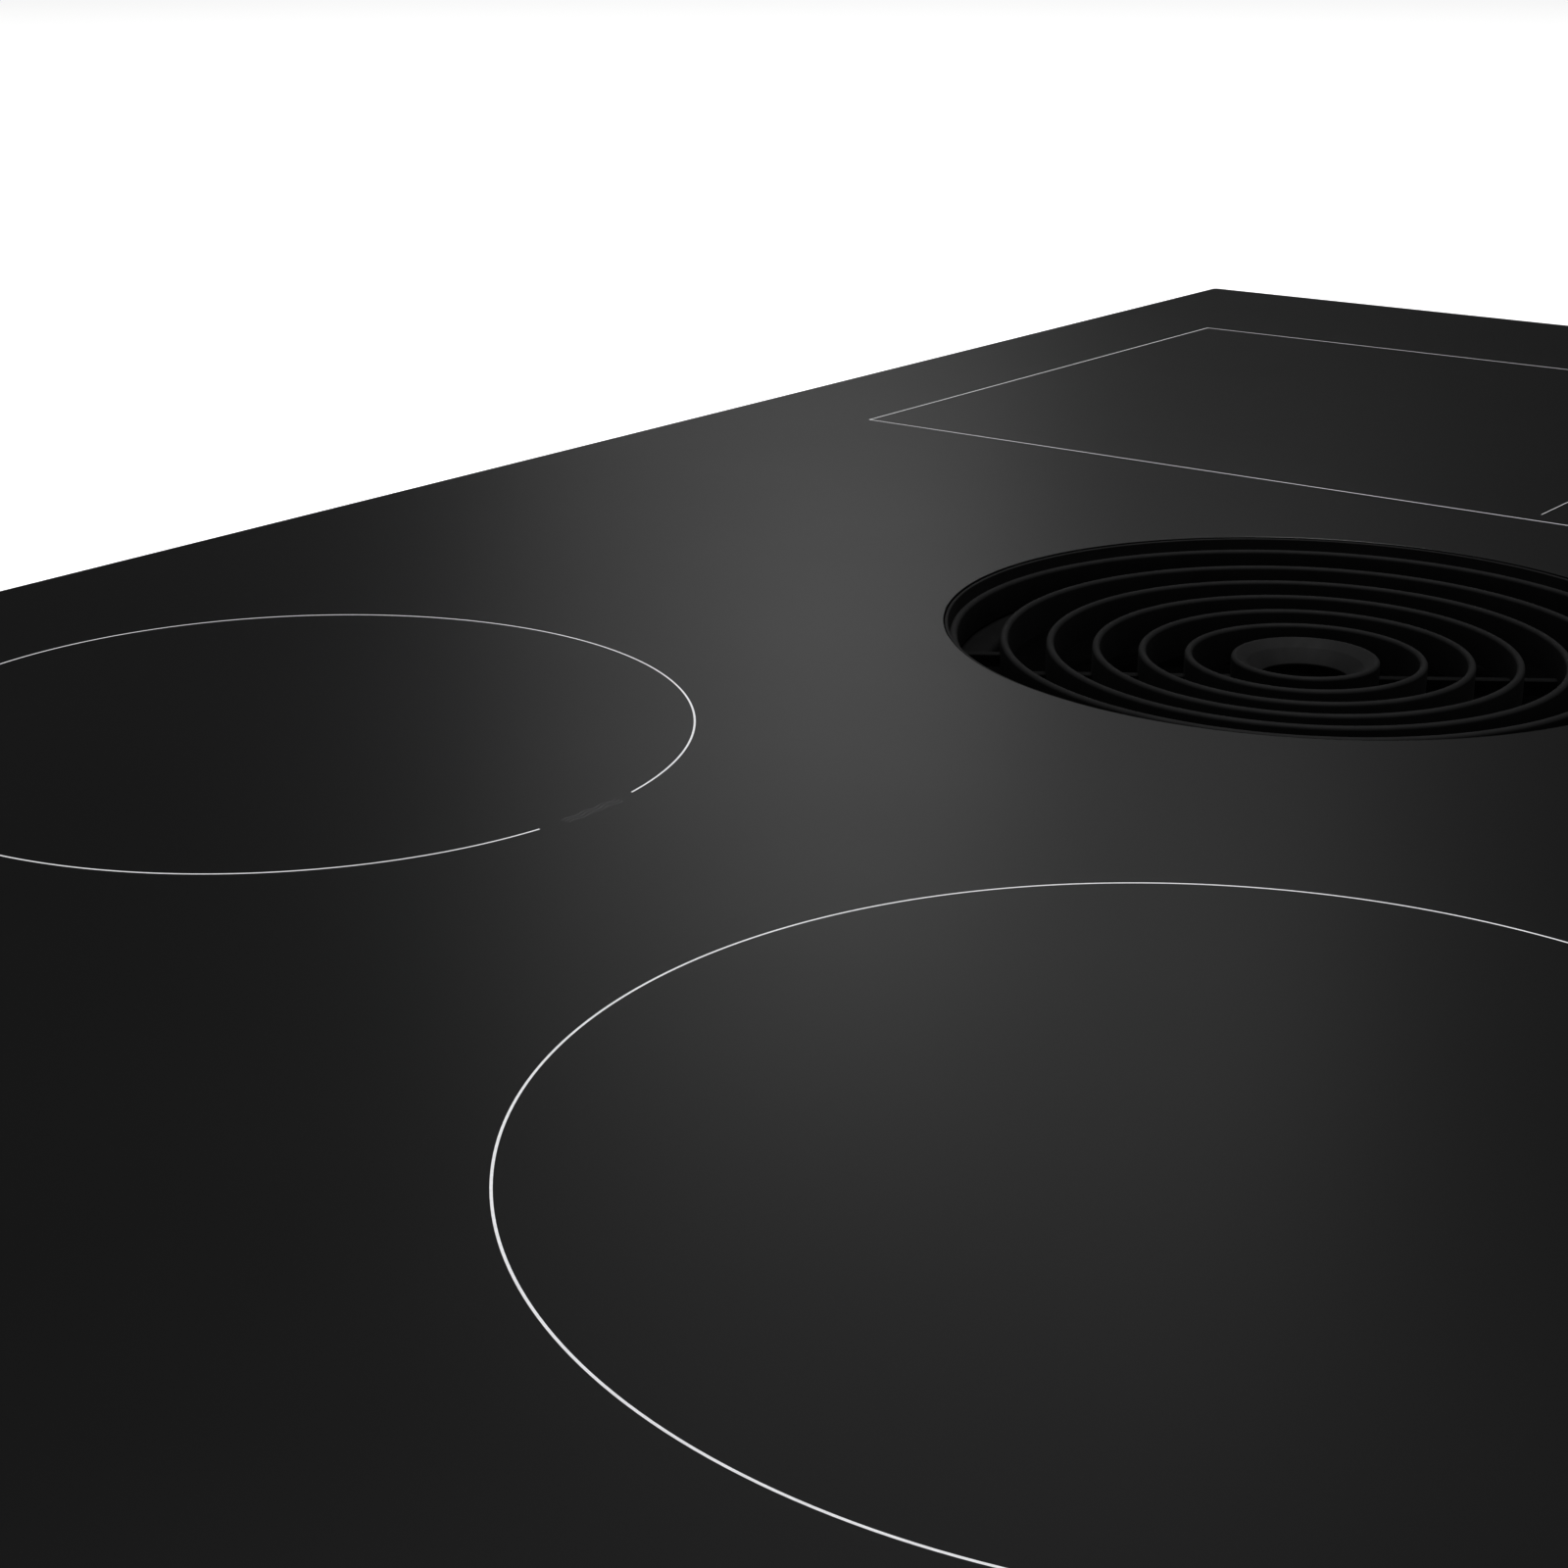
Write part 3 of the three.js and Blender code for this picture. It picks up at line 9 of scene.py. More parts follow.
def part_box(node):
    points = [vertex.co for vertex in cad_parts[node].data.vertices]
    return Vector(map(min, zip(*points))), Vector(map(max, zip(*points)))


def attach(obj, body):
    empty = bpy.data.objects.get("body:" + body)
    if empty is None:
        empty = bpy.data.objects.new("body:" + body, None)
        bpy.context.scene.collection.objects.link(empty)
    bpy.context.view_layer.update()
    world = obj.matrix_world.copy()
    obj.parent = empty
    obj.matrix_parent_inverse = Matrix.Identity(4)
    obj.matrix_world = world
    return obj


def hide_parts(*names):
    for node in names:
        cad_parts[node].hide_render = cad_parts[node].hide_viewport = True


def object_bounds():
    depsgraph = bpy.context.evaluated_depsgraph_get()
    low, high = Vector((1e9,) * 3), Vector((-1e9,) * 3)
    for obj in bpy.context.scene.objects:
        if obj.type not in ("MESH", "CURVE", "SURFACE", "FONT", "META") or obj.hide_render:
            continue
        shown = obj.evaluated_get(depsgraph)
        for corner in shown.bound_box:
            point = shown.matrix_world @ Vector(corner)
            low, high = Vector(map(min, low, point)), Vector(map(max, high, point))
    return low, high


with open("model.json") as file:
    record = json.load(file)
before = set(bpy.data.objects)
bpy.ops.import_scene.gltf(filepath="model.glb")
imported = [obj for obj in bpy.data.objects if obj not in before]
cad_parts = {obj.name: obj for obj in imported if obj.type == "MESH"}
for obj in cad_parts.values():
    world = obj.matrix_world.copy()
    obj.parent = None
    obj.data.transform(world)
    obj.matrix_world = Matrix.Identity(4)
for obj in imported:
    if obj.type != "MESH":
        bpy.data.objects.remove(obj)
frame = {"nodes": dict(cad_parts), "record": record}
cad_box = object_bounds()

MM = 0.001
FINE = 256  # facets of the rings and circles that show most
MEDIUM = 96
COARSE = 24
CORNER_STEPS = 8  # facets of a rounded corner
CORNERS = ("front_left", "front_right", "rear_left", "rear_right")
WHITE = (1.0, 1.0, 1.0, 1.0)


def node_box(name):
    """The two corners of a CAD node's box, in millimetres."""
    low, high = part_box(name)
    return Vector(low) / MM, Vector(high) / MM


# The levels of the glass's two faces.
GLASS_LOW, GLASS_HIGH = node_box("glass_top")
TOP = GLASS_HIGH.z
BOTTOM = GLASS_LOW.z

# ------------------------------------------------------------------ camera
CAMERA_HEIGHT = 0.1749  # over the glass
CAMERA_PLACE = (-0.56186, -0.27270)
CAMERA_HEADING = math.radians(37.665)
CAMERA_PITCH = math.radians(19.446)
CAMERA_LENS = 59.861


def make_camera():
    data = bpy.data.cameras.new("camera")
    data.lens = CAMERA_LENS
    data.sensor_width = 36
    data.clip_start = 0.01
    camera = bpy.data.objects.new("camera", data)
    bpy.context.collection.objects.link(camera)
    camera.location = (*CAMERA_PLACE, TOP * MM + CAMERA_HEIGHT)
    forward = Vector(
        (
            math.cos(CAMERA_HEADING) * math.cos(CAMERA_PITCH),
            math.sin(CAMERA_HEADING) * math.cos(CAMERA_PITCH),
            -math.sin(CAMERA_PITCH),
        )
    )
    camera.rotation_euler = forward.to_track_quat("-Z", "Y").to_euler()
    bpy.context.scene.camera = camera


# ------------------------------------------------------------------ node helpers
class Shader:
    """A material with one Principled shader, and short ways to add nodes to it."""

    def __init__(self, name, color, roughness, metallic=0.0, **sockets):
        self.material = bpy.data.materials.new(name)
        self.material.use_nodes = True
        self.tree = self.material.node_tree
        self.bsdf = self.tree.nodes["Principled BSDF"]
        self.bsdf.inputs["Base Color"].default_value = (*color, 1.0)
        self.bsdf.inputs["Roughness"].default_value = roughness
        self.bsdf.inputs["Metallic"].default_value = metallic
        for socket, value in sockets.items():
            self.bsdf.inputs[socket.replace("_", " ")].default_value = value
        self.place = self.node("ShaderNodeTexCoord").outputs["Object"]

    def node(self, kind, inputs=None, **settings):
        made = self.tree.nodes.new(kind)
        for key, value in settings.items():
            setattr(made, key, value)
        for key, value in (inputs or {}).items():
            self.feed(made.inputs[key], value)
        return made

    def feed(self, socket, value):
        if isinstance(value, bpy.types.NodeSocket):
            self.tree.links.new(value, socket)
        else:
            socket.default_value = value

    def stretched(self, scale):
        mapping = self.node(
            "ShaderNodeMapping", {"Vector": self.place, "Scale": scale}
        )
        return mapping.outputs["Vector"]

    def noise(self, scale, detail=4.0, place=None):
        made = self.node(
            "ShaderNodeTexNoise",
            {"Vector": place or self.place, "Scale": scale, "Detail": detail},
        )
        return made.outputs["Fac"]

    def cells(self, scale, feature="F1", output="Distance"):
        made = self.node(
            "ShaderNodeTexVoronoi", {"Vector": self.place, "Scale": scale}, feature=feature
        )
        return made.outputs[output]

    def ramp(self, value, *stops):
        made = self.node("ShaderNodeValToRGB", {"Fac": value})
        band = made.color_ramp
        while len(band.elements) < len(stops):
            band.elements.new(0.5)
        for element, (position, color) in zip(band.elements, stops):
            element.position = position
            element.color = (*color, 1.0)
        return made.outputs["Color"]

    def spread(self, value, low, high):
        made = self.node(
            "ShaderNodeMapRange", {"Value": value, "To Min": low, "To Max": high}
        )
        return made.outputs["Result"]

    def color(self, value):
        self.feed(self.bsdf.inputs["Base Color"], value)
        return self

    def rough(self, value):
        self.feed(self.bsdf.inputs["Roughness"], value)
        return self

    def bump(self, height, distance, strength=1.0):
        inputs = {"Height": height, "Distance": distance, "Strength": strength}
        previous = self.bsdf.inputs["Normal"]
        if previous.is_linked:
            inputs["Normal"] = previous.links[0].from_socket
        made = self.node("ShaderNodeBump", inputs)
        self.feed(previous, made.outputs["Normal"])
        return self


def grey(value):
    """A grey with a trace of blue."""
    return (value, value, value * 1.02)


# ------------------------------------------------------------------ materials
def glass_ceramic():
    s = Shader("glass_ceramic", grey(0.0016), 0.37, IOR=1.5)
    smudge = s.noise(9.0, 5.0)
    s.color(s.ramp(smudge, (0.3, grey(0.0014)), (0.7, grey(0.0018))))
    s.rough(s.spread(s.noise(14.0, 6.0), 0.35, 0.385))
    s.bump(s.noise(1800.0, 2.0), 0.000004, 0.25)
    return s.material


def print_enamel(name, low, high):
    s = Shader(name, grey(high), 0.55)
    s.color(s.ramp(s.noise(900.0, 3.0), (0.35, grey(low)), (0.65, grey(high))))
    return s.material


def matt_enamel(name, low, high, gloss):
    s = Shader(name, grey(high), 0.75, Specular_IOR_Level=gloss)
    s.color(s.ramp(s.noise(160.0, 6.0), (0.3, grey(low)), (0.7, grey(high))))
    s.rough(s.spread(s.noise(420.0, 4.0), 0.68, 0.82))
    s.bump(s.noise(2600.0, 3.0), 0.00003, 0.5)
    return s.material


def rubber():
    s = Shader("silicone_rubber", grey(0.018), 0.7)
    s.color(s.ramp(s.noise(120.0, 5.0), (0.3, grey(0.013)), (0.7, grey(0.026))))
    s.bump(s.noise(900.0, 4.0), 0.00005, 0.6)
    return s.material


def brushed(name, low, high, roughness, stretch):
    s = Shader(name, low, roughness, 1.0)
    grain = s.noise(60.0, 8.0, s.stretched(stretch))
    s.color(s.ramp(grain, (0.3, low), (0.7, high)))
    s.rough(s.spread(grain, roughness - 0.07, roughness + 0.09))
    s.bump(grain, 0.00002, 0.4)
    return s.material


def galvanised():
    s = Shader("galvanised_sheet", (0.42, 0.43, 0.44), 0.42, 1.0)
    spangle = s.cells(85.0, output="Color")
    tone = s.node("ShaderNodeRGBToBW", {"Color": spangle}).outputs["Val"]
    fine = s.noise(300.0, 6.0)
    mixed = s.node(
        "ShaderNodeMath", {0: tone, 1: fine}, operation="ADD"
    ).outputs["Value"]
    s.color(
        s.ramp(
            s.spread(mixed, 0.0, 0.5),
            (0.15, (0.31, 0.32, 0.335)),
            (0.85, (0.52, 0.53, 0.54)),
        )
    )
    s.rough(s.spread(tone, 0.34, 0.5))
    s.bump(s.noise(700.0, 5.0), 0.00002, 0.4)
    return s.material


def moulded(name, low, high, roughness, grain=1500.0):
    s = Shader(name, high, roughness)
    s.color(s.ramp(s.noise(45.0, 6.0), (0.3, low), (0.7, high)))
    s.rough(s.spread(s.noise(200.0, 4.0), roughness - 0.06, roughness + 0.08))
    s.bump(s.cells(grain), 0.00006, 0.5)
    return s.material


def litz():
    s = Shader("litz_copper", (0.45, 0.19, 0.09), 0.4, 0.8)
    strands = s.noise(700.0, 6.0, s.stretched((1.0, 1.0, 5.0)))
    s.color(s.ramp(strands, (0.3, (0.28, 0.1, 0.045)), (0.7, (0.62, 0.29, 0.15))))
    s.bump(strands, 0.0002, 0.8)
    return s.material


def ferrite():
    s = Shader("ferrite", grey(0.05), 0.75)
    s.color(s.ramp(s.noise(300.0, 8.0), (0.3, grey(0.03)), (0.7, grey(0.075))))
    s.bump(s.noise(900.0, 5.0), 0.0001, 0.6)
    return s.material


def circuit_board():
    s = Shader("circuit_board", (0.02, 0.12, 0.06), 0.4)
    tracks = s.cells(140.0, feature="DISTANCE_TO_EDGE")
    s.color(
        s.ramp(tracks, (0.06, (0.05, 0.2, 0.09)), (0.1, (0.012, 0.085, 0.045)))
    )
    s.bump(tracks, 0.00005, 0.6)
    return s.material


def knitted_mesh():
    s = Shader("knitted_steel_mesh", (0.45, 0.45, 0.46), 0.35, 1.0)
    weave = s.cells(900.0, feature="DISTANCE_TO_EDGE")
    s.color(s.ramp(weave, (0.08, (0.62, 0.62, 0.63)), (0.3, (0.08, 0.08, 0.085))))
    s.bump(weave, 0.0004, 0.9)
    return s.material


LOOKS = {
    "glass_ceramic": glass_ceramic(),
    "white_print": print_enamel("white_print", 0.78, 0.86),
    "grey_print": print_enamel("grey_print", 0.05, 0.065),
    "pale_print": print_enamel("pale_print", 0.42, 0.5),
    "black_enamel": matt_enamel("black_enamel", 0.0065, 0.009, 0.12),
    # A matt black darker than the grille's own enamel: partly the coat of the parts that use it,
    # partly painted shade for parts that sit deep in the inlet well.
    "black_coating_painted_shade": matt_enamel("black_coating_painted_shade", 0.0016, 0.0026, 0.05),
    "silicone_seal": rubber(),
    "frame_aluminium": brushed(
        "brushed_aluminium", (0.5, 0.505, 0.51), (0.7, 0.705, 0.71), 0.36, (1, 30, 30)
    ),
    "galvanised_sheet": galvanised(),
    "filter_mesh": knitted_mesh(),
    "brushed_filter_ring": brushed(
        "brushed_filter_ring", (0.4, 0.4, 0.41), (0.6, 0.6, 0.61), 0.32, (30, 30, 1)
    ),
    "black_plastic": moulded("black_plastic", grey(0.014), grey(0.024), 0.52),
    "grey_plastic": moulded("grey_plastic", grey(0.09), grey(0.14), 0.5),
    "litz_copper": litz(),
    "ferrite": ferrite(),
    "circuit_board": circuit_board(),
    "bright_steel": brushed(
        "bright_steel", (0.42, 0.42, 0.43), (0.62, 0.62, 0.63), 0.27, (30, 30, 4)
    ),
}


# ------------------------------------------------------------------ mesh helpers
class Solid:
    """Gathers the closed shapes of one piece. Sizes are in millimetres."""

    def __init__(self):
        self.vertices = []
        self.faces = []
        self.place = Matrix.Identity(4)

    def at(self, x=0.0, y=0.0, z=0.0, axis="Z", turn=0.0):
        """Sets where the next shapes go: their own Z points along the axis."""
        facing = {
            "Z": Matrix.Identity(4),
            "-Z": Matrix.Rotation(math.pi, 4, "X"),
            "X": Matrix.Rotation(math.pi / 2, 4, "Y"),
            "-X": Matrix.Rotation(-math.pi / 2, 4, "Y"),
            "Y": Matrix.Rotation(-math.pi / 2, 4, "X"),
            "-Y": Matrix.Rotation(math.pi / 2, 4, "X"),
        }[axis]
        spin = Matrix.Rotation(math.radians(turn), 4, "Z")
        self.place = Matrix.Translation((x, y, z)) @ spin @ facing
        return self

    def point(self, x, y, z):
        self.vertices.append(self.place @ Vector((x, y, z)) * MM)
        return len(self.vertices) - 1

    def loops(self, loops, closed):
        """Joins point loops of one length, each to the next; closed joins the last too."""
        count = len(loops[0])
        pairs = list(zip(loops, loops[1:]))
        if closed:
            pairs.append((loops[-1], loops[0]))
        for low, high in pairs:
            for i in range(count):
                k = (i + 1) % count
                self.faces.append((low[i], low[k], high[k], high[i]))

    def capped(self, loops):
        self.loops(loops, False)
        self.faces.append(tuple(reversed(loops[0])))
        self.faces.append(tuple(loops[-1]))

    def lathe(self, profile, steps=MEDIUM):
        """A ring turned about the shape's Z from a closed profile of (radius, z) points."""
        loops = [
            [self.point(r * c, r * s, z) for c, s in unit_circle(steps)] for r, z in profile
        ]
        self.loops(loops, True)

    def turned(self, profile, steps=COARSE):
        """A solid body turned from an open profile that runs up from one flat end."""
        self.capped(
            [[self.point(r * c, r * s, z) for c, s in unit_circle(steps)] for r, z in profile]
        )

    def frame(self, half_x, half_y, corner, profile):
        """A rectangular ring swept from a closed profile of (outset, z) points."""
        loops = []
        for outset, z in profile:
            outline = rounded_outline(
                half_x + outset, half_y + outset, corner + outset, CORNER_STEPS
            )
            loops.append([self.point(x, y, z) for x, y in outline])
        self.loops(loops, True)

    def block(self, low, high, soft=0.0):
        """A box with its ends chamfered by soft."""
        loops = []
        for inset, z in ((soft, low[2]), (0, low[2] + soft), (0, high[2] - soft), (soft, high[2])):
            loops.append(
                [
                    self.point(x, y, z)
                    for x, y in (
                        (low[0] + inset, low[1] + inset),
                        (high[0] - inset, low[1] + inset),
                        (high[0] - inset, high[1] - inset),
                        (low[0] + inset, high[1] - inset),
                    )
                ]
            )
        self.capped(loops if soft else [loops[0], loops[-1]])

    def piece(self, name, look, body="root", slot=None, smooth=35.0, replaces=None):
        mesh = bpy.data.meshes.new(name)
        mesh.from_pydata([tuple(v) for v in self.vertices], [], self.faces)
        bm = bmesh.new()
        bm.from_mesh(mesh)
        bmesh.ops.remove_doubles(bm, verts=bm.verts, dist=1e-7)
        bmesh.ops.recalc_face_normals(bm, faces=bm.faces)
        bm.to_mesh(mesh)
        bm.free()
        mesh.shade_smooth()
        mesh.set_sharp_from_angle(angle=math.radians(smooth))
        return finish_piece(mesh, name, look, body, replaces)


def finish_piece(mesh, name, look, body, replaces):
    piece = bpy.data.objects.new(name, mesh)
    bpy.context.collection.objects.link(piece)
    mesh.materials.append(LOOKS[look])
    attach(piece, body)
    if replaces:
        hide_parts(replaces)
    return piece


def unit_circle(steps):
    angles = [2 * math.pi * i / steps for i in range(steps)]
    return [(math.cos(a), math.sin(a)) for a in angles]


def arc(x, z, radius, start, end, count):
    """Points of an arc, with its angles in degrees."""
    points = []
    for i in range(count + 1):
        angle = math.radians(start + (end - start) * i / count)
        points.append((x + radius * math.cos(angle), z + radius * math.sin(angle)))
    return points


def rounded_outline(half_x, half_y, radius, steps):
    points = []
    for sx, sy, start in ((1, 1, 0), (-1, 1, 90), (-1, -1, 180), (1, -1, 270)):
        centre = (sx * (half_x - radius), sy * (half_y - radius))
        points += arc(*centre, radius, start, start + 90, steps)
    return points


# ------------------------------------------------------------------ glass top
INLET_RADIUS = 88.5
GLASS_CORNER = 3.0
EDGE_BEVEL = 0.8
INLET_BEVEL = 0.06
FOOT_BEVEL = 0.3
EDGE_ROUND = 0.18
LEVEL_NORMAL = 0.999  # faces whose normal is nearer to Z than this are shaded flat


def edge_profile(bevel, soften):
    """The glass's edge from its underside to its top, as (inset, height)."""
    return [
        (FOOT_BEVEL, BOTTOM),
        (0.0, BOTTOM + FOOT_BEVEL),
        (0.0, TOP - bevel - soften),
        (soften * 0.3, TOP - bevel),
        (bevel - soften * 0.3, TOP - soften * 0.5),
        (bevel + soften, TOP),
    ]


def glass_top():
    """The glass, with a ground bevel along its outside and a fine one at the inlet."""
    bm = bmesh.new()

    def loop(outline, z):
        return [bm.verts.new((x * MM, y * MM, z * MM)) for x, y in outline]

    outside = [
        loop(
            rounded_outline(
                GLASS_HIGH.x - inset,
                GLASS_HIGH.y - inset,
                GLASS_CORNER - inset,
                CORNER_STEPS,
            ),
            z,
        )
        for inset, z in edge_profile(EDGE_BEVEL, EDGE_ROUND)
    ]
    inside = [
        loop(
            [
                ((INLET_RADIUS + inset) * c, (INLET_RADIUS + inset) * s)
                for c, s in unit_circle(FINE)
            ],
            z,
        )
        for inset, z in edge_profile(INLET_BEVEL, INLET_BEVEL / 3)
    ]
    for loops in (outside, inside):
        for low, high in zip(loops, loops[1:]):
            for i in range(len(low)):
                k = (i + 1) % len(low)
                bm.faces.new((low[i], low[k], high[k], high[i]))
    for level in (0, -1):
        edges = []
        for ring in (outside[level], inside[level]):
            for i in range(len(ring)):
                edges.append(bm.edges.get((ring[i], ring[(i + 1) % len(ring)])))
        bmesh.ops.triangle_fill(
            bm, edges=edges, use_beauty=True, normal=(0, 0, 1 if level else -1)
        )
    bmesh.ops.recalc_face_normals(bm, faces=bm.faces)
    mesh = bpy.data.meshes.new("glass_top_fine")
    bm.to_mesh(mesh)
    bm.free()
    for polygon in mesh.polygons:
        polygon.use_smooth = abs(polygon.normal.z) < LEVEL_NORMAL
    finish_piece(mesh, "glass_top_fine", "glass_ceramic", "root", "glass_top")


# ------------------------------------------------------------------ prints on the glass
PRINT_THICKNESS = 0.03
LINE_WIDTH = 0.45
DIVIDER_WIDTH = 0.24


def unit(vector):
    return vector.normalized() if vector.length else vector


def ribbon(solid, points, width, closed=False):
    """Adds a thin printed line of that width along points."""
    path = [Vector(point) for point in points]
    count = len(path)
    loops = []
    for i, here in enumerate(path):
        before = unit(here - path[i - 1]) if i or closed else Vector((0, 0))
        ahead = path[(i + 1) % count] if i < count - 1 or closed else here
        after = unit(ahead - here)
        along = unit(before + after)
        stretch = max(along.dot(after if after.length else before), 0.3)
        across = Vector((-along.y, along.x)) * width / (2 * stretch)
        left, right = here - across, here + across
        loops.append(
            [
                solid.point(*left, TOP),
                solid.point(*right, TOP),
                solid.point(*right, TOP + PRINT_THICKNESS),
                solid.point(*left, TOP + PRINT_THICKNESS),
            ]
        )
    if closed:
        solid.loops(loops, True)
    else:
        solid.capped(loops)


def printed(name, lines, look="white_print"):
    """One printed mark made of (points, width, closed) lines."""
    solid = Solid()
    for points, width, closed in lines:
        ribbon(solid, points, width, closed)
    solid.piece(name, look, slot="glass_ceramic", smooth=20.0)


REAR_ZONE = (-205.0, 137.7)
REAR_ZONE_RADIUS = 87.56
GAP_START = -81.6
GAP_END = -99.2
FRONT_ZONE = (-256.9, -117.4)
FRONT_ZONE_RADIUS = 105.0
BRIDGE_LEFT = 136.6
BRIDGE_RIGHT = 366.8
BRIDGE_HALF = 230.4
DIVIDER_INSET = 7.8


def zone_prints():
    rear = arc(*REAR_ZONE, REAR_ZONE_RADIUS, GAP_START, GAP_END + 360, FINE)
    printed("zone_ring_rear_left", [(rear, LINE_WIDTH, False)])
    front = arc(*FRONT_ZONE, FRONT_ZONE_RADIUS, 0, 360, FINE)[:-1]
    printed("zone_ring_front_left", [(front, LINE_WIDTH, True)])
    corners = [
        (BRIDGE_LEFT, -BRIDGE_HALF),
        (BRIDGE_RIGHT, -BRIDGE_HALF),
        (BRIDGE_RIGHT, BRIDGE_HALF),
        (BRIDGE_LEFT, BRIDGE_HALF),
    ]
    printed("zone_outline_bridge", [(corners, LINE_WIDTH, True)])
    divider = [(BRIDGE_LEFT + DIVIDER_INSET, 0.0), (BRIDGE_RIGHT - DIVIDER_INSET, 0.0)]
    printed("zone_divider_bridge", [(divider, DIVIDER_WIDTH, False)])


WAVE_LENGTH = 5.2
WAVE_HEIGHT = 0.62
WAVE_COUNT = 3
WAVE_STEPS = 14
WAVE_ROWS = (-0.95, 0.0, 0.95)
WAVE_WIDTH = 0.3


def gentle_heat_mark():
    """A pictogram of low waves in the rear ring's gap."""
    lines = []
    for row in WAVE_ROWS:
        points = []
        for i in range(WAVE_COUNT * WAVE_STEPS + 1):
            along = i / WAVE_STEPS
            swing = WAVE_HEIGHT / 2 * math.sin(2 * math.pi * along)
            points.append(
                (
                    REAR_ZONE[0] + (along - WAVE_COUNT / 2) * WAVE_LENGTH,
                    REAR_ZONE[1] - REAR_ZONE_RADIUS + row + swing,
                )
            )
        lines.append((points, WAVE_WIDTH, False))
    printed("gentle_heat_mark", lines, "grey_print")


# ------------------------------------------------------------------ touch controls
SYMBOL = 4.2  # half height of a symbol
SYMBOL_LINE = 0.42
SLIDER_START = -30.0
SLIDER_STEP = 7.5
SLIDER_STEPS = 9
ZONE_KEYS = {-92.0: (-1, 1), -79.0: (-1, -1), -66.0: (1, 1), -53.0: (1, -1)}
FAN_X = 54.0
TIMER_X = 68.0
LOCK_X = 82.0
POWER_X = 96.0


def touch_controls():
    """Generic symbols over the touch board: zones, a power slider, lock, timer, fan, on."""
    low, high = node_box("touch_control_board")
    y = (low.y + high.y) / 2
    lines = []

    def line(*points, closed=False):
        lines.append((points, SYMBOL_LINE, closed))

    def ring(x, radius, start=0.0, end=360.0):
        points = arc(x, y, radius, start, end, 32)
        whole = end - start == 360.0
        line(*(points[:-1] if whole else points), closed=whole)

    for x, (sx, sy) in ZONE_KEYS.items():
        outline = rounded_outline(SYMBOL, SYMBOL, 1.0, 4)
        line(*[(x + px, y + py) for px, py in outline], closed=True)
        dot = arc(x + sx * SYMBOL / 2.2, y + sy * SYMBOL / 2.2, 0.8, 0, 360, 12)[:-1]
        line(*dot, closed=True)
    for i in range(SLIDER_STEPS + 1):
        x = SLIDER_START + i * SLIDER_STEP
        reach = 0.8 + 0.25 * i
        line((x, y - reach), (x, y + reach))
    slider_end = SLIDER_START + SLIDER_STEPS * SLIDER_STEP
    line((SLIDER_START, y - SYMBOL), (slider_end, y - SYMBOL))
    for i in range(3):
        turn = math.radians(90 + 120 * i)
        blade = arc(
            FAN_X + 2.1 * math.cos(turn), y + 2.1 * math.sin(turn), 1.7, 0, 360, 20
        )
        line(*blade[:-1], closed=True)
    ring(TIMER_X, SYMBOL)
    line((TIMER_X, y + SYMBOL * 0.6), (TIMER_X, y), (TIMER_X + SYMBOL * 0.5, y))
    body = [
        (px + LOCK_X, py + y - 1.3) for px, py in rounded_outline(3.0, 2.4, 0.6, 4)
    ]
    line(*body, closed=True)
    line(*arc(LOCK_X, y + 1.3, 2.0, 0, 180, 16))
    ring(POWER_X, SYMBOL, 125.0, 415.0)
    line((POWER_X, y + 0.5), (POWER_X, y + SYMBOL + 0.8))
    printed("touch_symbols", lines, "pale_print")


# ------------------------------------------------------------------ air inlet
COLLAR_OUTER = 88.2
COLLAR_INNER = 87.4
COLLAR_TUBE = 88.6
COLLAR_FLANGE = 96.7
COLLAR_SHEET = 1.2
COLLAR_DROP = 0.3
COLLAR_LIP = 0.25
LEDGE_DEPTH = 14.0
LEDGE_INNER = 79.4
LEDGE_FILLET = 0.8
RING_HALF = 0.95
RING_PITCH = 11.3
RING_HEIGHT = 9.2
RING_COUNT = 5
HUB_RING = 17.0
HUB_SHOULDER = (14.3, 1.8)
HUB_THROAT = (10.8, 5.1)
SHOULDER_ROUND = 0.35
THROAT_ROUND = 0.5
DISH_DEPTH = 8.1
DISH_RADIUS = 707.0
OUTER_RING = 85.95
OUTER_RING_DEPTH = 3.0
OUTER_RING_FOOT = 11.4
RIB_COUNT = 4
RIB_TURN = 35.0
RIB_HALF = 1.2
RIB_DROP = 5.0
RIB_SOFT = 0.25
FOOT_SOFT = 0.2


def dish(radius):
    """Height of the grille's dished surface at a radius."""
    return TOP - DISH_DEPTH + radius * radius / (2 * DISH_RADIUS)


def collar():
    rim = TOP - COLLAR_DROP
    flange = BOTTOM - COLLAR_DROP
    ledge = TOP - LEDGE_DEPTH
    solid = Solid()
    solid.lathe(
        arc(COLLAR_INNER + COLLAR_LIP, rim - COLLAR_LIP, COLLAR_LIP, 180, 90, 4)
        + arc(COLLAR_OUTER - COLLAR_LIP, rim - COLLAR_LIP, COLLAR_LIP, 90, 0, 4)
        + [
            (COLLAR_OUTER, flange),
            (COLLAR_FLANGE, flange),
            (COLLAR_FLANGE, flange - COLLAR_SHEET),
            (COLLAR_TUBE, flange - COLLAR_SHEET),
            (COLLAR_TUBE, ledge - COLLAR_SHEET),
            (LEDGE_INNER, ledge - COLLAR_SHEET),
        ]
        + arc(LEDGE_INNER + COLLAR_LIP, ledge - COLLAR_LIP, COLLAR_LIP, 180, 90, 3)
        + arc(COLLAR_INNER - LEDGE_FILLET, ledge + LEDGE_FILLET, LEDGE_FILLET, 270, 360, 5),
        FINE,
    )
    solid.piece("inlet_collar_fine", "black_enamel", replaces="inlet_collar")


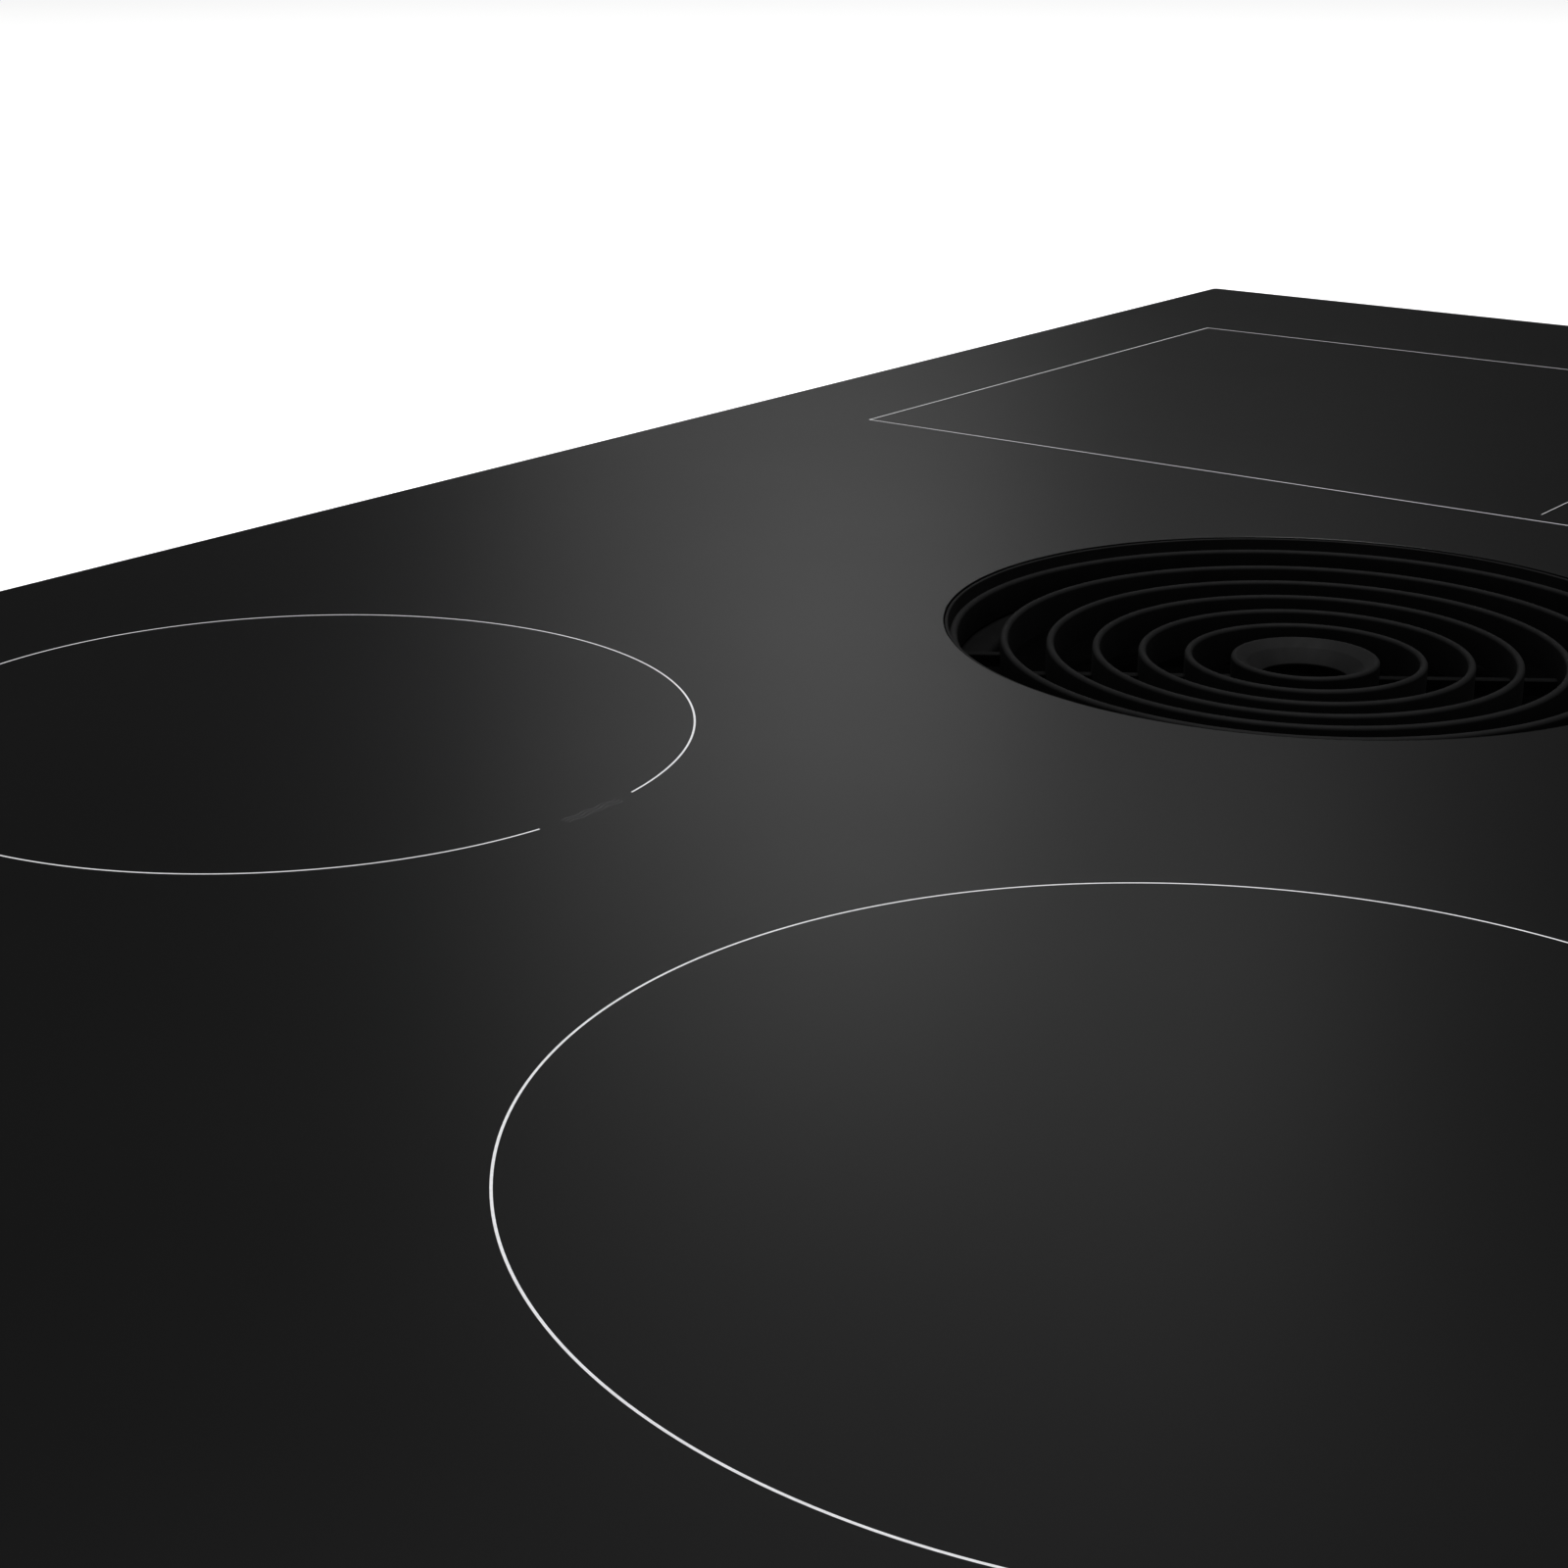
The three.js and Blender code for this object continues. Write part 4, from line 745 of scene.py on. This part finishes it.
def ring_profile(radius, top, foot):
    return (
        [
            (radius - RING_HALF + FOOT_SOFT, foot),
            (radius + RING_HALF - FOOT_SOFT, foot),
            (radius + RING_HALF, foot + FOOT_SOFT),
        ]
        + arc(radius, top - RING_HALF, RING_HALF, 0, 180, 10)
        + [(radius - RING_HALF, foot + FOOT_SOFT)]
    )


def hub_profile():
    """The hub ring with a funnel in it, of one wall thickness."""
    top = dish(HUB_RING)
    foot = top - RING_HEIGHT
    shoulder = top - HUB_SHOULDER[1]
    throat = top - HUB_THROAT[1]
    inner = HUB_RING - RING_HALF
    return (
        [(inner, foot), (HUB_RING + RING_HALF, foot)]
        + arc(HUB_RING, top - RING_HALF, RING_HALF, 0, 118, 9)
        + arc(HUB_SHOULDER[0] + 0.1, shoulder - 0.3, SHOULDER_ROUND, 118, 140, 3)
        + arc(HUB_THROAT[0] + THROAT_ROUND, throat - 0.1, THROAT_ROUND, 140, 300, 8)
        + [(HUB_SHOULDER[0], shoulder - 2 * RING_HALF), (inner, shoulder - 2 * RING_HALF)]
    )


def grille():
    solid = Solid()
    solid.lathe(hub_profile(), FINE)
    for i in range(1, RING_COUNT + 1):
        radius = HUB_RING + i * RING_PITCH
        top = dish(radius)
        solid.lathe(ring_profile(radius, top, top - RING_HEIGHT), FINE)
    outer_foot = TOP - OUTER_RING_FOOT
    outer_top = TOP - OUTER_RING_DEPTH
    solid.lathe(ring_profile(OUTER_RING, outer_top, outer_foot), FINE)
    hub_top = dish(HUB_RING)
    last = HUB_RING + RING_COUNT * RING_PITCH
    solid.piece(
        "inlet_grille_fine", "black_enamel", "grille", smooth=40.0, replaces="inlet_grille"
    )
    ribs = Solid()
    for i in range(RIB_COUNT):
        ribs.at(turn=RIB_TURN + 360 / RIB_COUNT * i)
        ribs.block(
            (HUB_RING, -RIB_HALF, hub_top - RING_HEIGHT),
            (last, RIB_HALF, hub_top - RIB_DROP),
            RIB_SOFT,
        )
        ribs.block(
            (last, -RIB_HALF, outer_foot),
            (OUTER_RING, RIB_HALF, outer_top - RIB_DROP),
            RIB_SOFT,
        )
    # The ribs take the darker black coating rather than the grille's enamel: painted shade, as
    # they sit low in the inlet well.
    ribs.piece("inlet_grille_ribs", "black_coating_painted_shade", "grille", "black_enamel")


# ------------------------------------------------------------------ filter cartridge
CARTRIDGE_RADIUS = 77.8  # middle of its sheet
CARTRIDGE_SHEET = 1.2
CARTRIDGE_STEPS = 180
WINDOW_COUNT = 6
WINDOW_HALF_TURN = 19
WINDOW_ABOVE_FLOOR = 10.0
SLOT_TURN = 4  # one slot and the bar beside it, in columns of the mesh
SLOT_HEIGHT = 8.0
SLOT_BAR = 2.5
SLOT_ROWS = 5
FLOOR_LEDGE = 3.0  # how far the floor reaches in below the drip cup's rim
FLOOR_BEND = 2.0
RIM_BEND = 0.9
SHEET_BEADS = (-22.0, -16.0)  # pressed in below the flange
SHEET_BEAD_PROFILE = ((-1.2, 0.0), (-0.5, 0.45), (0.5, 0.45), (1.2, 0.0))
SHEET_EDGE = 0.25


def cartridge_rows():
    """The cartridge's sheet from its floor to its flange: (radius, z, open above)."""
    low, high = node_box("filter_cartridge")
    half = CARTRIDGE_SHEET / 2
    floor = low.z + half
    flange = high.z - half
    _, cup_high = node_box("drip_cup")
    opening = cup_high.x - FLOOR_LEDGE
    rows = [(opening + half, floor, False)]
    corner = (CARTRIDGE_RADIUS - FLOOR_BEND, floor + FLOOR_BEND)
    rows += [(r, z, False) for r, z in arc(*corner, FLOOR_BEND, 270, 360, 5)]
    z = low.z + CARTRIDGE_SHEET + WINDOW_ABOVE_FLOOR
    for _ in range(SLOT_ROWS):
        rows.append((CARTRIDGE_RADIUS, z, True))
        rows.append((CARTRIDGE_RADIUS, z + SLOT_HEIGHT, False))
        z += SLOT_HEIGHT + SLOT_BAR
    for bead in SHEET_BEADS:
        for step, inward in SHEET_BEAD_PROFILE:
            rows.append((CARTRIDGE_RADIUS - inward, flange + bead + step, False))
    corner = (CARTRIDGE_RADIUS + RIM_BEND, flange - RIM_BEND)
    rows += [(r, z, False) for r, z in arc(*corner, RIM_BEND, 180, 90, 4)]
    rows += [(high.x - half, flange, False)]
    return rows


def filter_cartridge():
    """A sheet-metal basket with six slotted windows, a flange and two pressed beads."""
    rows = cartridge_rows()
    solid = Solid()
    loops = [
        [solid.point(r * c, r * s, z) for c, s in unit_circle(CARTRIDGE_STEPS)]
        for r, z, _ in rows
    ]
    degrees = 360 / CARTRIDGE_STEPS
    spacing = 360 / WINDOW_COUNT
    for (low, high), (_, _, slotted) in zip(zip(loops, loops[1:]), rows):
        for i in range(CARTRIDGE_STEPS):
            turn = (i + 0.5) * degrees
            from_window = abs((turn + spacing / 2) % spacing - spacing / 2)
            in_slot = from_window < WINDOW_HALF_TURN and i % SLOT_TURN != 0
            if not (slotted and in_slot):
                k = (i + 1) % CARTRIDGE_STEPS
                solid.faces.append((low[i], low[k], high[k], high[i]))
    # The basket's very dark black coat is partly its own finish and partly painted shade: it is
    # darker than the grille's enamel so the inlet well stays dark.
    piece = solid.piece(
        "filter_cartridge_fine",
        "black_coating_painted_shade",
        "cartridge",
        "black_enamel",
        replaces="filter_cartridge",
    )
    sheet = piece.modifiers.new("sheet", "SOLIDIFY")
    sheet.thickness = CARTRIDGE_SHEET * MM
    sheet.offset = 0.0
    edge = piece.modifiers.new("edge", "BEVEL")
    edge.width = SHEET_EDGE * MM
    edge.segments = 2
    edge.limit_method = "ANGLE"
    edge.angle_limit = math.radians(50)


PLEATS = 44
PLEAT_DEPTH = 5.5
PLEAT_STEPS = 12
MESH_THICKNESS = 1.3
END_RING = 3.0
END_RING_ROUND = 0.5
END_RING_OVERLAP = 3.0
SLEEVE_GAP = 0.1
SLEEVE_INSET = 0.6


def grease_filter():
    """A pleated sleeve of wire mesh between two end rings."""
    low, high = node_box("grease_filter")
    outer = high.x - SLEEVE_GAP
    solid = Solid()
    count = PLEATS * PLEAT_STEPS

    def wave(inset, z):
        points = []
        for i in range(count):
            angle = 2 * math.pi * i / count
            swing = 0.5 - 0.5 * math.cos(PLEATS * angle)
            radius = outer - SLEEVE_INSET - inset - PLEAT_DEPTH * swing
            points.append(solid.point(radius * math.cos(angle), radius * math.sin(angle), z))
        return points

    z0 = low.z + END_RING / 2
    z1 = high.z - END_RING / 2
    solid.loops(
        [wave(0, z0), wave(0, z1), wave(MESH_THICKNESS, z1), wave(MESH_THICKNESS, z0)], True
    )
    solid.piece(
        "grease_filter_fine", "filter_mesh", "cartridge", smooth=60.0, replaces="grease_filter"
    )
    rings = Solid()
    bend = END_RING_ROUND
    inner = outer - PLEAT_DEPTH - END_RING_OVERLAP
    for z in (low.z, high.z - END_RING):
        profile = arc(outer - bend, z + END_RING - bend, bend, 0, 90, 4)
        profile += arc(inner + bend, z + END_RING - bend, bend, 90, 180, 4)
        profile += arc(inner + bend, z + bend, bend, 180, 270, 4)
        profile += arc(outer - bend, z + bend, bend, 270, 360, 4)
        rings.lathe(profile, FINE)
    rings.piece("grease_filter_end_rings", "brushed_filter_ring", "cartridge", "filter_mesh")


CUP_WALL = 1.2
CUP_RIM = 4.0
CUP_FILLET = 5.0
CUP_RISE = 0.8  # its floor stands this high on the foot ring
CUP_LIP = 0.6
CUP_MOUTH = 0.8
LEVEL_MARKS = (8.0, 14.0)
MARK_HALF = 0.3
MARK_DEPTH = 0.35


def drip_cup():
    low, high = node_box("drip_cup")
    outer = high.x - CUP_RIM
    inner = outer - CUP_WALL
    floor = low.z + CUP_WALL
    fillet = CUP_FILLET
    under = low.z + CUP_RISE
    profile = [(0.0, under), (30.0, under), (31.0, low.z), (34.0, low.z), (35.0, under)]
    profile += arc(outer - fillet, under + fillet, fillet, 270, 360, 8)
    profile += [(outer, high.z - CUP_WALL)]
    profile += arc(high.x - CUP_LIP, high.z - CUP_LIP, CUP_LIP, 270, 450, 6)
    profile += arc(inner + CUP_MOUTH, high.z - CUP_MOUTH, CUP_MOUTH, 90, 180, 5)
    profile += arc(inner - fillet, floor + CUP_RISE + fillet, fillet, 0, -90, 8)
    profile += [(0.0, floor + CUP_RISE)]
    solid = Solid()
    solid.turned(profile, MEDIUM)
    solid.piece(
        "drip_cup_fine", "black_plastic", "cartridge", smooth=30.0, replaces="drip_cup"
    )
    marks = Solid()
    root = inner + 0.1
    for level in LEVEL_MARKS:
        z = floor + level
        ridge = [(root, z - MARK_HALF), (inner - MARK_DEPTH, z), (root, z + MARK_HALF)]
        marks.lathe(ridge, MEDIUM)
    marks.piece("drip_cup_level_rings", "black_plastic", "cartridge")


# ------------------------------------------------------------------ coils
TURN_PITCH = 3.5
WIRE_HALF = 1.6
COIL_HOLES = {"round": 27.5, "square": 35.5}
SQUARENESS = 5.0
SPIRAL_STEPS = 72
WIRE_STEPS = 8
WINDING_GAP = 0.1


def coil_winding(name, square):
    """One spiral of litz wire, round or nearly square."""
    node = f"coil_winding_{name}"
    low, high = node_box(node)
    centre = (low + high) / 2
    outer = high.x - centre.x - WIRE_HALF
    start = COIL_HOLES["square" if square else "round"] + WIRE_HALF
    turns = int((outer - start) / TURN_PITCH)
    half_height = (high.z - low.z) / 2 - WINDING_GAP
    solid = Solid().at(*centre)
    loops = []
    for i in range(turns * SPIRAL_STEPS + 1):
        angle = 2 * math.pi * i / SPIRAL_STEPS
        radius = start + (outer - start) * i / (turns * SPIRAL_STEPS)
        if square:
            spread = abs(math.cos(angle)) ** SQUARENESS + abs(math.sin(angle)) ** SQUARENESS
            radius /= spread ** (1 / SQUARENESS)
        loop = []
        for c, s in unit_circle(WIRE_STEPS):
            r = radius + WIRE_HALF * c
            loop.append(solid.point(r * math.cos(angle), r * math.sin(angle), half_height * s))
        loops.append(loop)
    solid.capped(loops)
    solid.piece(f"{node}_fine", "litz_copper", smooth=60.0, replaces=node)


# ------------------------------------------------------------------ fixings
THREAD_PITCH = 1.25
THREAD_DEPTH = 0.45
THREAD_ROWS = 6
SCREW_RADIUS = 2.5
HEAD_RADIUS = 4.0
HEAD_HEIGHT = 3.0
FOOT_RADIUS = 5.0
FOOT_HEIGHT = 2.0


def clamp_screw(corner):
    """A threaded rod with a six-sided head below and a ribbed foot on top."""
    node = f"clamp_screw_{corner}"
    low, high = node_box(node)
    solid = Solid().at((low.x + high.x) / 2, (low.y + high.y) / 2)
    rod_low = low.z + HEAD_HEIGHT
    rod_high = high.z - FOOT_HEIGHT
    rows = int((rod_high - rod_low) / THREAD_PITCH * THREAD_ROWS)
    loops = []
    for row in range(rows + 1):
        z = rod_low + (rod_high - rod_low) * row / rows
        loop = []
        for i, (c, s) in enumerate(unit_circle(COARSE)):
            phase = (z / THREAD_PITCH - i / COARSE) % 1.0
            radius = SCREW_RADIUS - THREAD_DEPTH * abs(2 * phase - 1)
            loop.append(solid.point(radius * c, radius * s, z))
        loops.append(loop)
    solid.capped(loops)
    solid.turned(
        [(HEAD_RADIUS - 1.0, low.z), (HEAD_RADIUS, low.z + 0.8), (HEAD_RADIUS, rod_low - 0.3)]
        + [(HEAD_RADIUS - 0.3, rod_low)],
        6,
    )
    foot = [(FOOT_RADIUS - 0.5, rod_high), (FOOT_RADIUS, rod_high + 0.4)]
    for i in range(3):
        z = rod_high + 0.5 + 0.4 * i
        foot += [(FOOT_RADIUS - 0.15, z + 0.1), (FOOT_RADIUS, z + 0.25)]
    solid.turned(foot + [(FOOT_RADIUS - 0.4, high.z)])
    solid.piece(f"{node}_fine", "bright_steel", node, smooth=25.0, replaces=node)


BUTTON_RADIUS = 3.2
BUTTON_HEIGHT = 1.7
SOCKET_RADIUS = 1.5
SUNK = 0.3  # how deep a screw's or rivet's head reaches into its sheet


def button_head(solid):
    """A button-head screw that stands on the shape's own XY plane."""
    dome = [(BUTTON_RADIUS, -SUNK), (BUTTON_RADIUS, 0.3), (BUTTON_RADIUS * 0.9, 0.9)]
    dome += [(BUTTON_RADIUS * 0.7, 1.4), (SOCKET_RADIUS + 0.1, BUTTON_HEIGHT)]
    solid.lathe(dome + [(SOCKET_RADIUS, BUTTON_HEIGHT - 0.1), (SOCKET_RADIUS, -SUNK)], COARSE)
    solid.turned([(SOCKET_RADIUS + 0.2, -SUNK), (SOCKET_RADIUS + 0.2, 0.5)], 6)


LIP_SCREW_Z = -7.0
LIP_SCREW_COUNT = 5
LIP_SCREW_PITCH = 180.0
SIDE_SCREW_Y = (-120.0, 0.0, 120.0)
BRACKET_SCREW_X = (409.0, 425.0)
BRACKET_SHEET = 2.0


def screws():
    """Screws through the frame's lip into the tray, and under the fixing brackets."""
    low, high = node_box("carrier_frame")
    solid = Solid()
    for i in range(LIP_SCREW_COUNT):
        x = (i - (LIP_SCREW_COUNT - 1) / 2) * LIP_SCREW_PITCH
        button_head(solid.at(x, high.y, LIP_SCREW_Z, "Y"))
        button_head(solid.at(x, low.y, LIP_SCREW_Z, "-Y"))
    for y in SIDE_SCREW_Y:
        button_head(solid.at(high.x, y, LIP_SCREW_Z, "X"))
        button_head(solid.at(low.x, y, LIP_SCREW_Z, "-X"))
    for corner in CORNERS:
        low, high = node_box(f"fixing_bracket_{corner}")
        side = 1 if high.x > 0 else -1
        plate_low = high.z - BRACKET_SHEET
        for x in BRACKET_SCREW_X:
            button_head(solid.at(side * x, (low.y + high.y) / 2, plate_low, "-Z"))
    solid.piece("casing_screws", "bright_steel", smooth=25.0)


RIVET_RADIUS = 2.4
RIVET_INSET = 9.0
TRAY_RIVET_Z = (-24.0, -46.0)
PAN_RIVET_Z = (-106.0, -142.0, -178.0)


def rivets():
    """Rivets down the folded corners of the tray and of the extractor's lower pan."""
    solid = Solid()

    def column(x, y, axis, levels):
        for z in levels:
            solid.at(x, y, z, axis)
            solid.turned(
                [(RIVET_RADIUS - 0.3, -SUNK), (RIVET_RADIUS, 0.1), (RIVET_RADIUS * 0.85, 0.6)]
                + [(RIVET_RADIUS * 0.5, 0.95), (RIVET_RADIUS * 0.15, 1.05)]
            )

    for name, levels in (("base_tray", TRAY_RIVET_Z), ("extractor_lower_pan", PAN_RIVET_Z)):
        low, high = node_box(name)
        for y in (low.y + RIVET_INSET, high.y - RIVET_INSET):
            column(high.x, y, "X", levels)
            column(low.x, y, "-X", levels)
        column(low.x + RIVET_INSET, low.y, "-Y", levels)
        column(high.x - RIVET_INSET, low.y, "-Y", levels)
        column(high.x - RIVET_INSET, high.y, "Y", levels)
    low, high = node_box("base_tray")
    column(low.x + RIVET_INSET, high.y, "Y", TRAY_RIVET_Z)
    solid.piece("corner_rivets", "bright_steel", smooth=40.0)


BEAD_HALF_LENGTH = 85.0
BEAD_HALF_WIDTH = 6.0
BEAD_DEPTH = 1.6
BEAD_X = (-420.0, -375.0, -330.0, 170.0, 225.0, 280.0, 335.0, 390.0)
BEAD_Y = -45.0


def tray_beads():
    """Pressed stiffening beads on the underside of the tray."""
    low, _ = node_box("base_tray")
    solid = Solid()
    for x in BEAD_X:
        loops = []
        for inset, drop in ((0.0, -0.3), (0.3, 0.2), (1.2, 1.1), (3.0, BEAD_DEPTH)):
            outline = rounded_outline(
                BEAD_HALF_WIDTH - inset,
                BEAD_HALF_LENGTH - inset,
                BEAD_HALF_WIDTH - inset - 0.1,
                CORNER_STEPS,
            )
            loops.append([solid.point(x + px, BEAD_Y + py, low.z - drop) for px, py in outline])
        solid.capped(loops)
    solid.piece("tray_stiffening_beads", "galvanised_sheet", smooth=40.0)


CLIP_HALF_WIDTH = 8.0
CLIP_REACH = 9.0
CLIP_SHEET = 0.9
CLIP_STANDOFF = 0.2
CLIP_SOFT = 0.3
CLIPS_ON_SIDES = (-95.0, 37.0, 170.0)
CLIPS_ON_FRONT = (-235.0, -85.0, 65.0)
CLIPS_ON_REAR = (-20.0, 75.0)


def box_clips():
    """Spring clips that hold the extractor's upper shell and lower pan together."""
    low, high = node_box("extractor_lower_pan")
    seam = high.z
    solid = Solid()
    sides = [("X", high.x, CLIPS_ON_SIDES), ("-X", low.x, CLIPS_ON_SIDES)]
    sides += [("-Y", low.y, CLIPS_ON_FRONT), ("Y", high.y, CLIPS_ON_REAR)]
    for axis, face, places in sides:
        for place in places:
            x, y = (face, place) if "X" in axis else (place, face)
            solid.at(x, y, seam, axis)
            wide, tall = CLIP_HALF_WIDTH, CLIP_REACH
            if "X" in axis:
                wide, tall = tall, wide
            outside = CLIP_STANDOFF + CLIP_SHEET
            solid.block((-wide, -tall, CLIP_STANDOFF), (wide, tall, outside), CLIP_SOFT)
            dimple = [(2.6, CLIP_SHEET), (2.4, CLIP_SHEET + 0.7), (1.6, CLIP_SHEET + 1.1)]
            solid.turned(dimple)
    solid.piece("extractor_clips", "bright_steel", smooth=30.0)


SEAL_BEADS = (12.0, 20.0, 28.0)
DUCT_CORNER = 4.0
SPIGOT_FLANGE = 6.0


def spigot_seals():
    """Rubber lips round the duct spigot."""
    low, high = node_box("outlet_spigot")
    half_x = (high.x - low.x) / 2 - SPIGOT_FLANGE
    half_z = (high.z - low.z) / 2 - SPIGOT_FLANGE
    solid = Solid().at((low.x + high.x) / 2, low.y, (low.z + high.z) / 2, "Y")
    for out in SEAL_BEADS:
        lip = [(-0.2, out - 1.6), (0.3, out - 1.4), (1.4, out - 0.3), (1.5, out)]
        lip += [(1.1, out + 0.2), (0.2, out + 0.6), (-0.2, out + 0.8)]
        solid.frame(half_x, half_z, DUCT_CORNER, lip)
    solid.piece("spigot_seal_lips", "silicone_seal", smooth=50.0)


GLAND_NUT_HEIGHT = 7.0
GLAND_BORE = 6.0
GLAND_RIBS = 18
GLAND_THREAD = 11.8
RIB_GROOVE = 0.45
RIBBED_FROM = 9.0  # rows of the dome wider than this carry ribs


def cable_gland():
    """A hexagon nut with a ribbed clamping dome below it."""
    low, high = node_box("cable_gland")
    solid = Solid().at((low.x + high.x) / 2, (low.y + high.y) / 2)
    nut_radius = (high.x - low.x) / 2
    tray_low, _ = node_box("base_tray")
    nut_high = tray_low.z - 0.3
    nut_low = nut_high - GLAND_NUT_HEIGHT
    thread = GLAND_THREAD
    solid.lathe(
        [(GLAND_BORE, nut_low), (thread, nut_low), (thread, high.z - 0.5)]
        + [(thread - 0.5, high.z), (GLAND_BORE, high.z)],
        MEDIUM,
    )
    nut = [
        (nut_radius - 2.0, nut_low),
        (nut_radius - 0.4, nut_low + 1.2),
        (nut_radius, nut_high - 0.6),
        (nut_radius - 0.6, nut_high),
        (thread, nut_high),
        (thread, nut_low),
    ]
    solid.lathe(nut, 6)
    dome = []
    steps = GLAND_RIBS * 4
    rows = [(13.0, nut_low + 0.3), (12.9, nut_low - 4.0), (11.6, low.z + 4.0), (9.4, low.z + 0.8)]
    rows += [(8.6, low.z), (GLAND_BORE, low.z), (GLAND_BORE, nut_low + 0.3)]
    for radius, z in rows:
        loop = []
        for i, (c, s) in enumerate(unit_circle(steps)):
            grooved = radius > RIBBED_FROM and i % 4 in (0, 1)
            r = radius - (RIB_GROOVE if grooved else 0.0)
            loop.append(solid.point(r * c, r * s, z))
        dome.append(loop)
    solid.loops(dome, True)
    solid.piece("cable_gland_fine", "black_plastic", smooth=30.0, replaces="cable_gland")


# ------------------------------------------------------------------ carried-over nodes
SOFT_EDGE = 0.3


def dress_nodes():
    """Gives each CAD node that still shows its record slot's material and soft edges."""
    slots = {p["node"]: p["material_slot"] for p in frame["record"]["subparts"]}
    for name, node in frame["nodes"].items():
        node.data.materials.clear()
        node.data.materials.append(LOOKS[slots[name]])
        bevel = node.modifiers.new("soft_edges", "BEVEL")
        bevel.width = SOFT_EDGE * MM
        bevel.segments = 2
        bevel.limit_method = "ANGLE"
        bevel.angle_limit = math.radians(40)


# ------------------------------------------------------------------ stage and light
FLOOR_HALF = 40.0
FLOOR_GAP = 0.0005
FLOOR_GLOW = 0.68
SURROUND = 0.014  # how brightly the room lights the object
BACKDROP = 0.9  # how brightly the wall behind the floor shows
# Each light's azimuth and elevation in degrees, distance, size, and brightness at the inlet.
STUDIO_LIGHTS = {
    "overhead": (0.0, 90.0, 8.0, 2.4, 3.1),
    "rear_low": (41.7, 19.2, 9.0, 0.9, 0.0134),
    "rear_middle": (38.5, 21.4, 2.0, 0.25, 0.0276),
    "rear_high": (28.3, 28.1, 2.0, 0.25, 0.0185),
}


def studio_light(name, azimuth, elevation, distance, size, irradiance):
    """A soft square light that faces the air inlet, with angles in degrees."""
    data = bpy.data.lights.new(name, "AREA")
    data.size = size
    data.energy = math.pi * distance**2 * irradiance
    light = bpy.data.objects.new(name, data)
    bpy.context.collection.objects.link(light)
    turn = math.radians(azimuth)
    rise = math.radians(elevation)
    target = Vector((0.0, 0.0, TOP * MM))
    outward = Vector(
        (math.cos(turn) * math.cos(rise), math.sin(turn) * math.cos(rise), math.sin(rise))
    )
    light.location = target + outward * distance
    light.rotation_euler = (-outward).to_track_quat("-Z", "Y").to_euler()


def stage():
    """A pale floor just below the object."""
    floor_z = cad_box[0][2] - FLOOR_GAP
    size = FLOOR_HALF
    mesh = bpy.data.meshes.new("floor")
    mesh.from_pydata(
        [
            (-size, -size, floor_z),
            (size, -size, floor_z),
            (size, size, floor_z),
            (-size, size, floor_z),
        ],
        [],
        [(0, 1, 2, 3)],
    )
    floor = bpy.data.objects.new("floor", mesh)
    bpy.context.collection.objects.link(floor)
    paint = Shader("pale_floor", (0.88, 0.88, 0.88), 0.9, Emission_Strength=FLOOR_GLOW)
    paint.bsdf.inputs["Emission Color"].default_value = WHITE
    mesh.materials.append(paint.material)


def lights():
    """A dim room with a pale wall, a soft light above and three behind."""
    world = bpy.data.worlds.new("studio")
    bpy.context.scene.world = world
    world.use_nodes = True
    tree = world.node_tree
    surround = tree.nodes["Background"]
    surround.inputs["Color"].default_value = WHITE
    surround.inputs["Strength"].default_value = SURROUND
    backdrop = tree.nodes.new("ShaderNodeBackground")
    backdrop.inputs["Color"].default_value = WHITE
    backdrop.inputs["Strength"].default_value = BACKDROP
    path = tree.nodes.new("ShaderNodeLightPath")
    mix = tree.nodes.new("ShaderNodeMixShader")
    tree.links.new(path.outputs["Is Camera Ray"], mix.inputs[0])
    tree.links.new(surround.outputs[0], mix.inputs[1])
    tree.links.new(backdrop.outputs[0], mix.inputs[2])
    tree.links.new(mix.outputs[0], tree.nodes["World Output"].inputs["Surface"])
    for name, setting in STUDIO_LIGHTS.items():
        studio_light(name, *setting)


make_camera()
glass_top()
zone_prints()
gentle_heat_mark()
touch_controls()
collar()
grille()
filter_cartridge()
grease_filter()
drip_cup()
for zone in ("rear_left", "front_left", "bridge_rear", "bridge_front"):
    coil_winding(zone, zone.startswith("bridge"))
for corner in CORNERS:
    clamp_screw(corner)
screws()
rivets()
tray_beads()
box_clips()
spigot_seals()
cable_gland()
dress_nodes()
stage()
lights()
bpy.context.scene.view_settings.view_transform = "Standard"
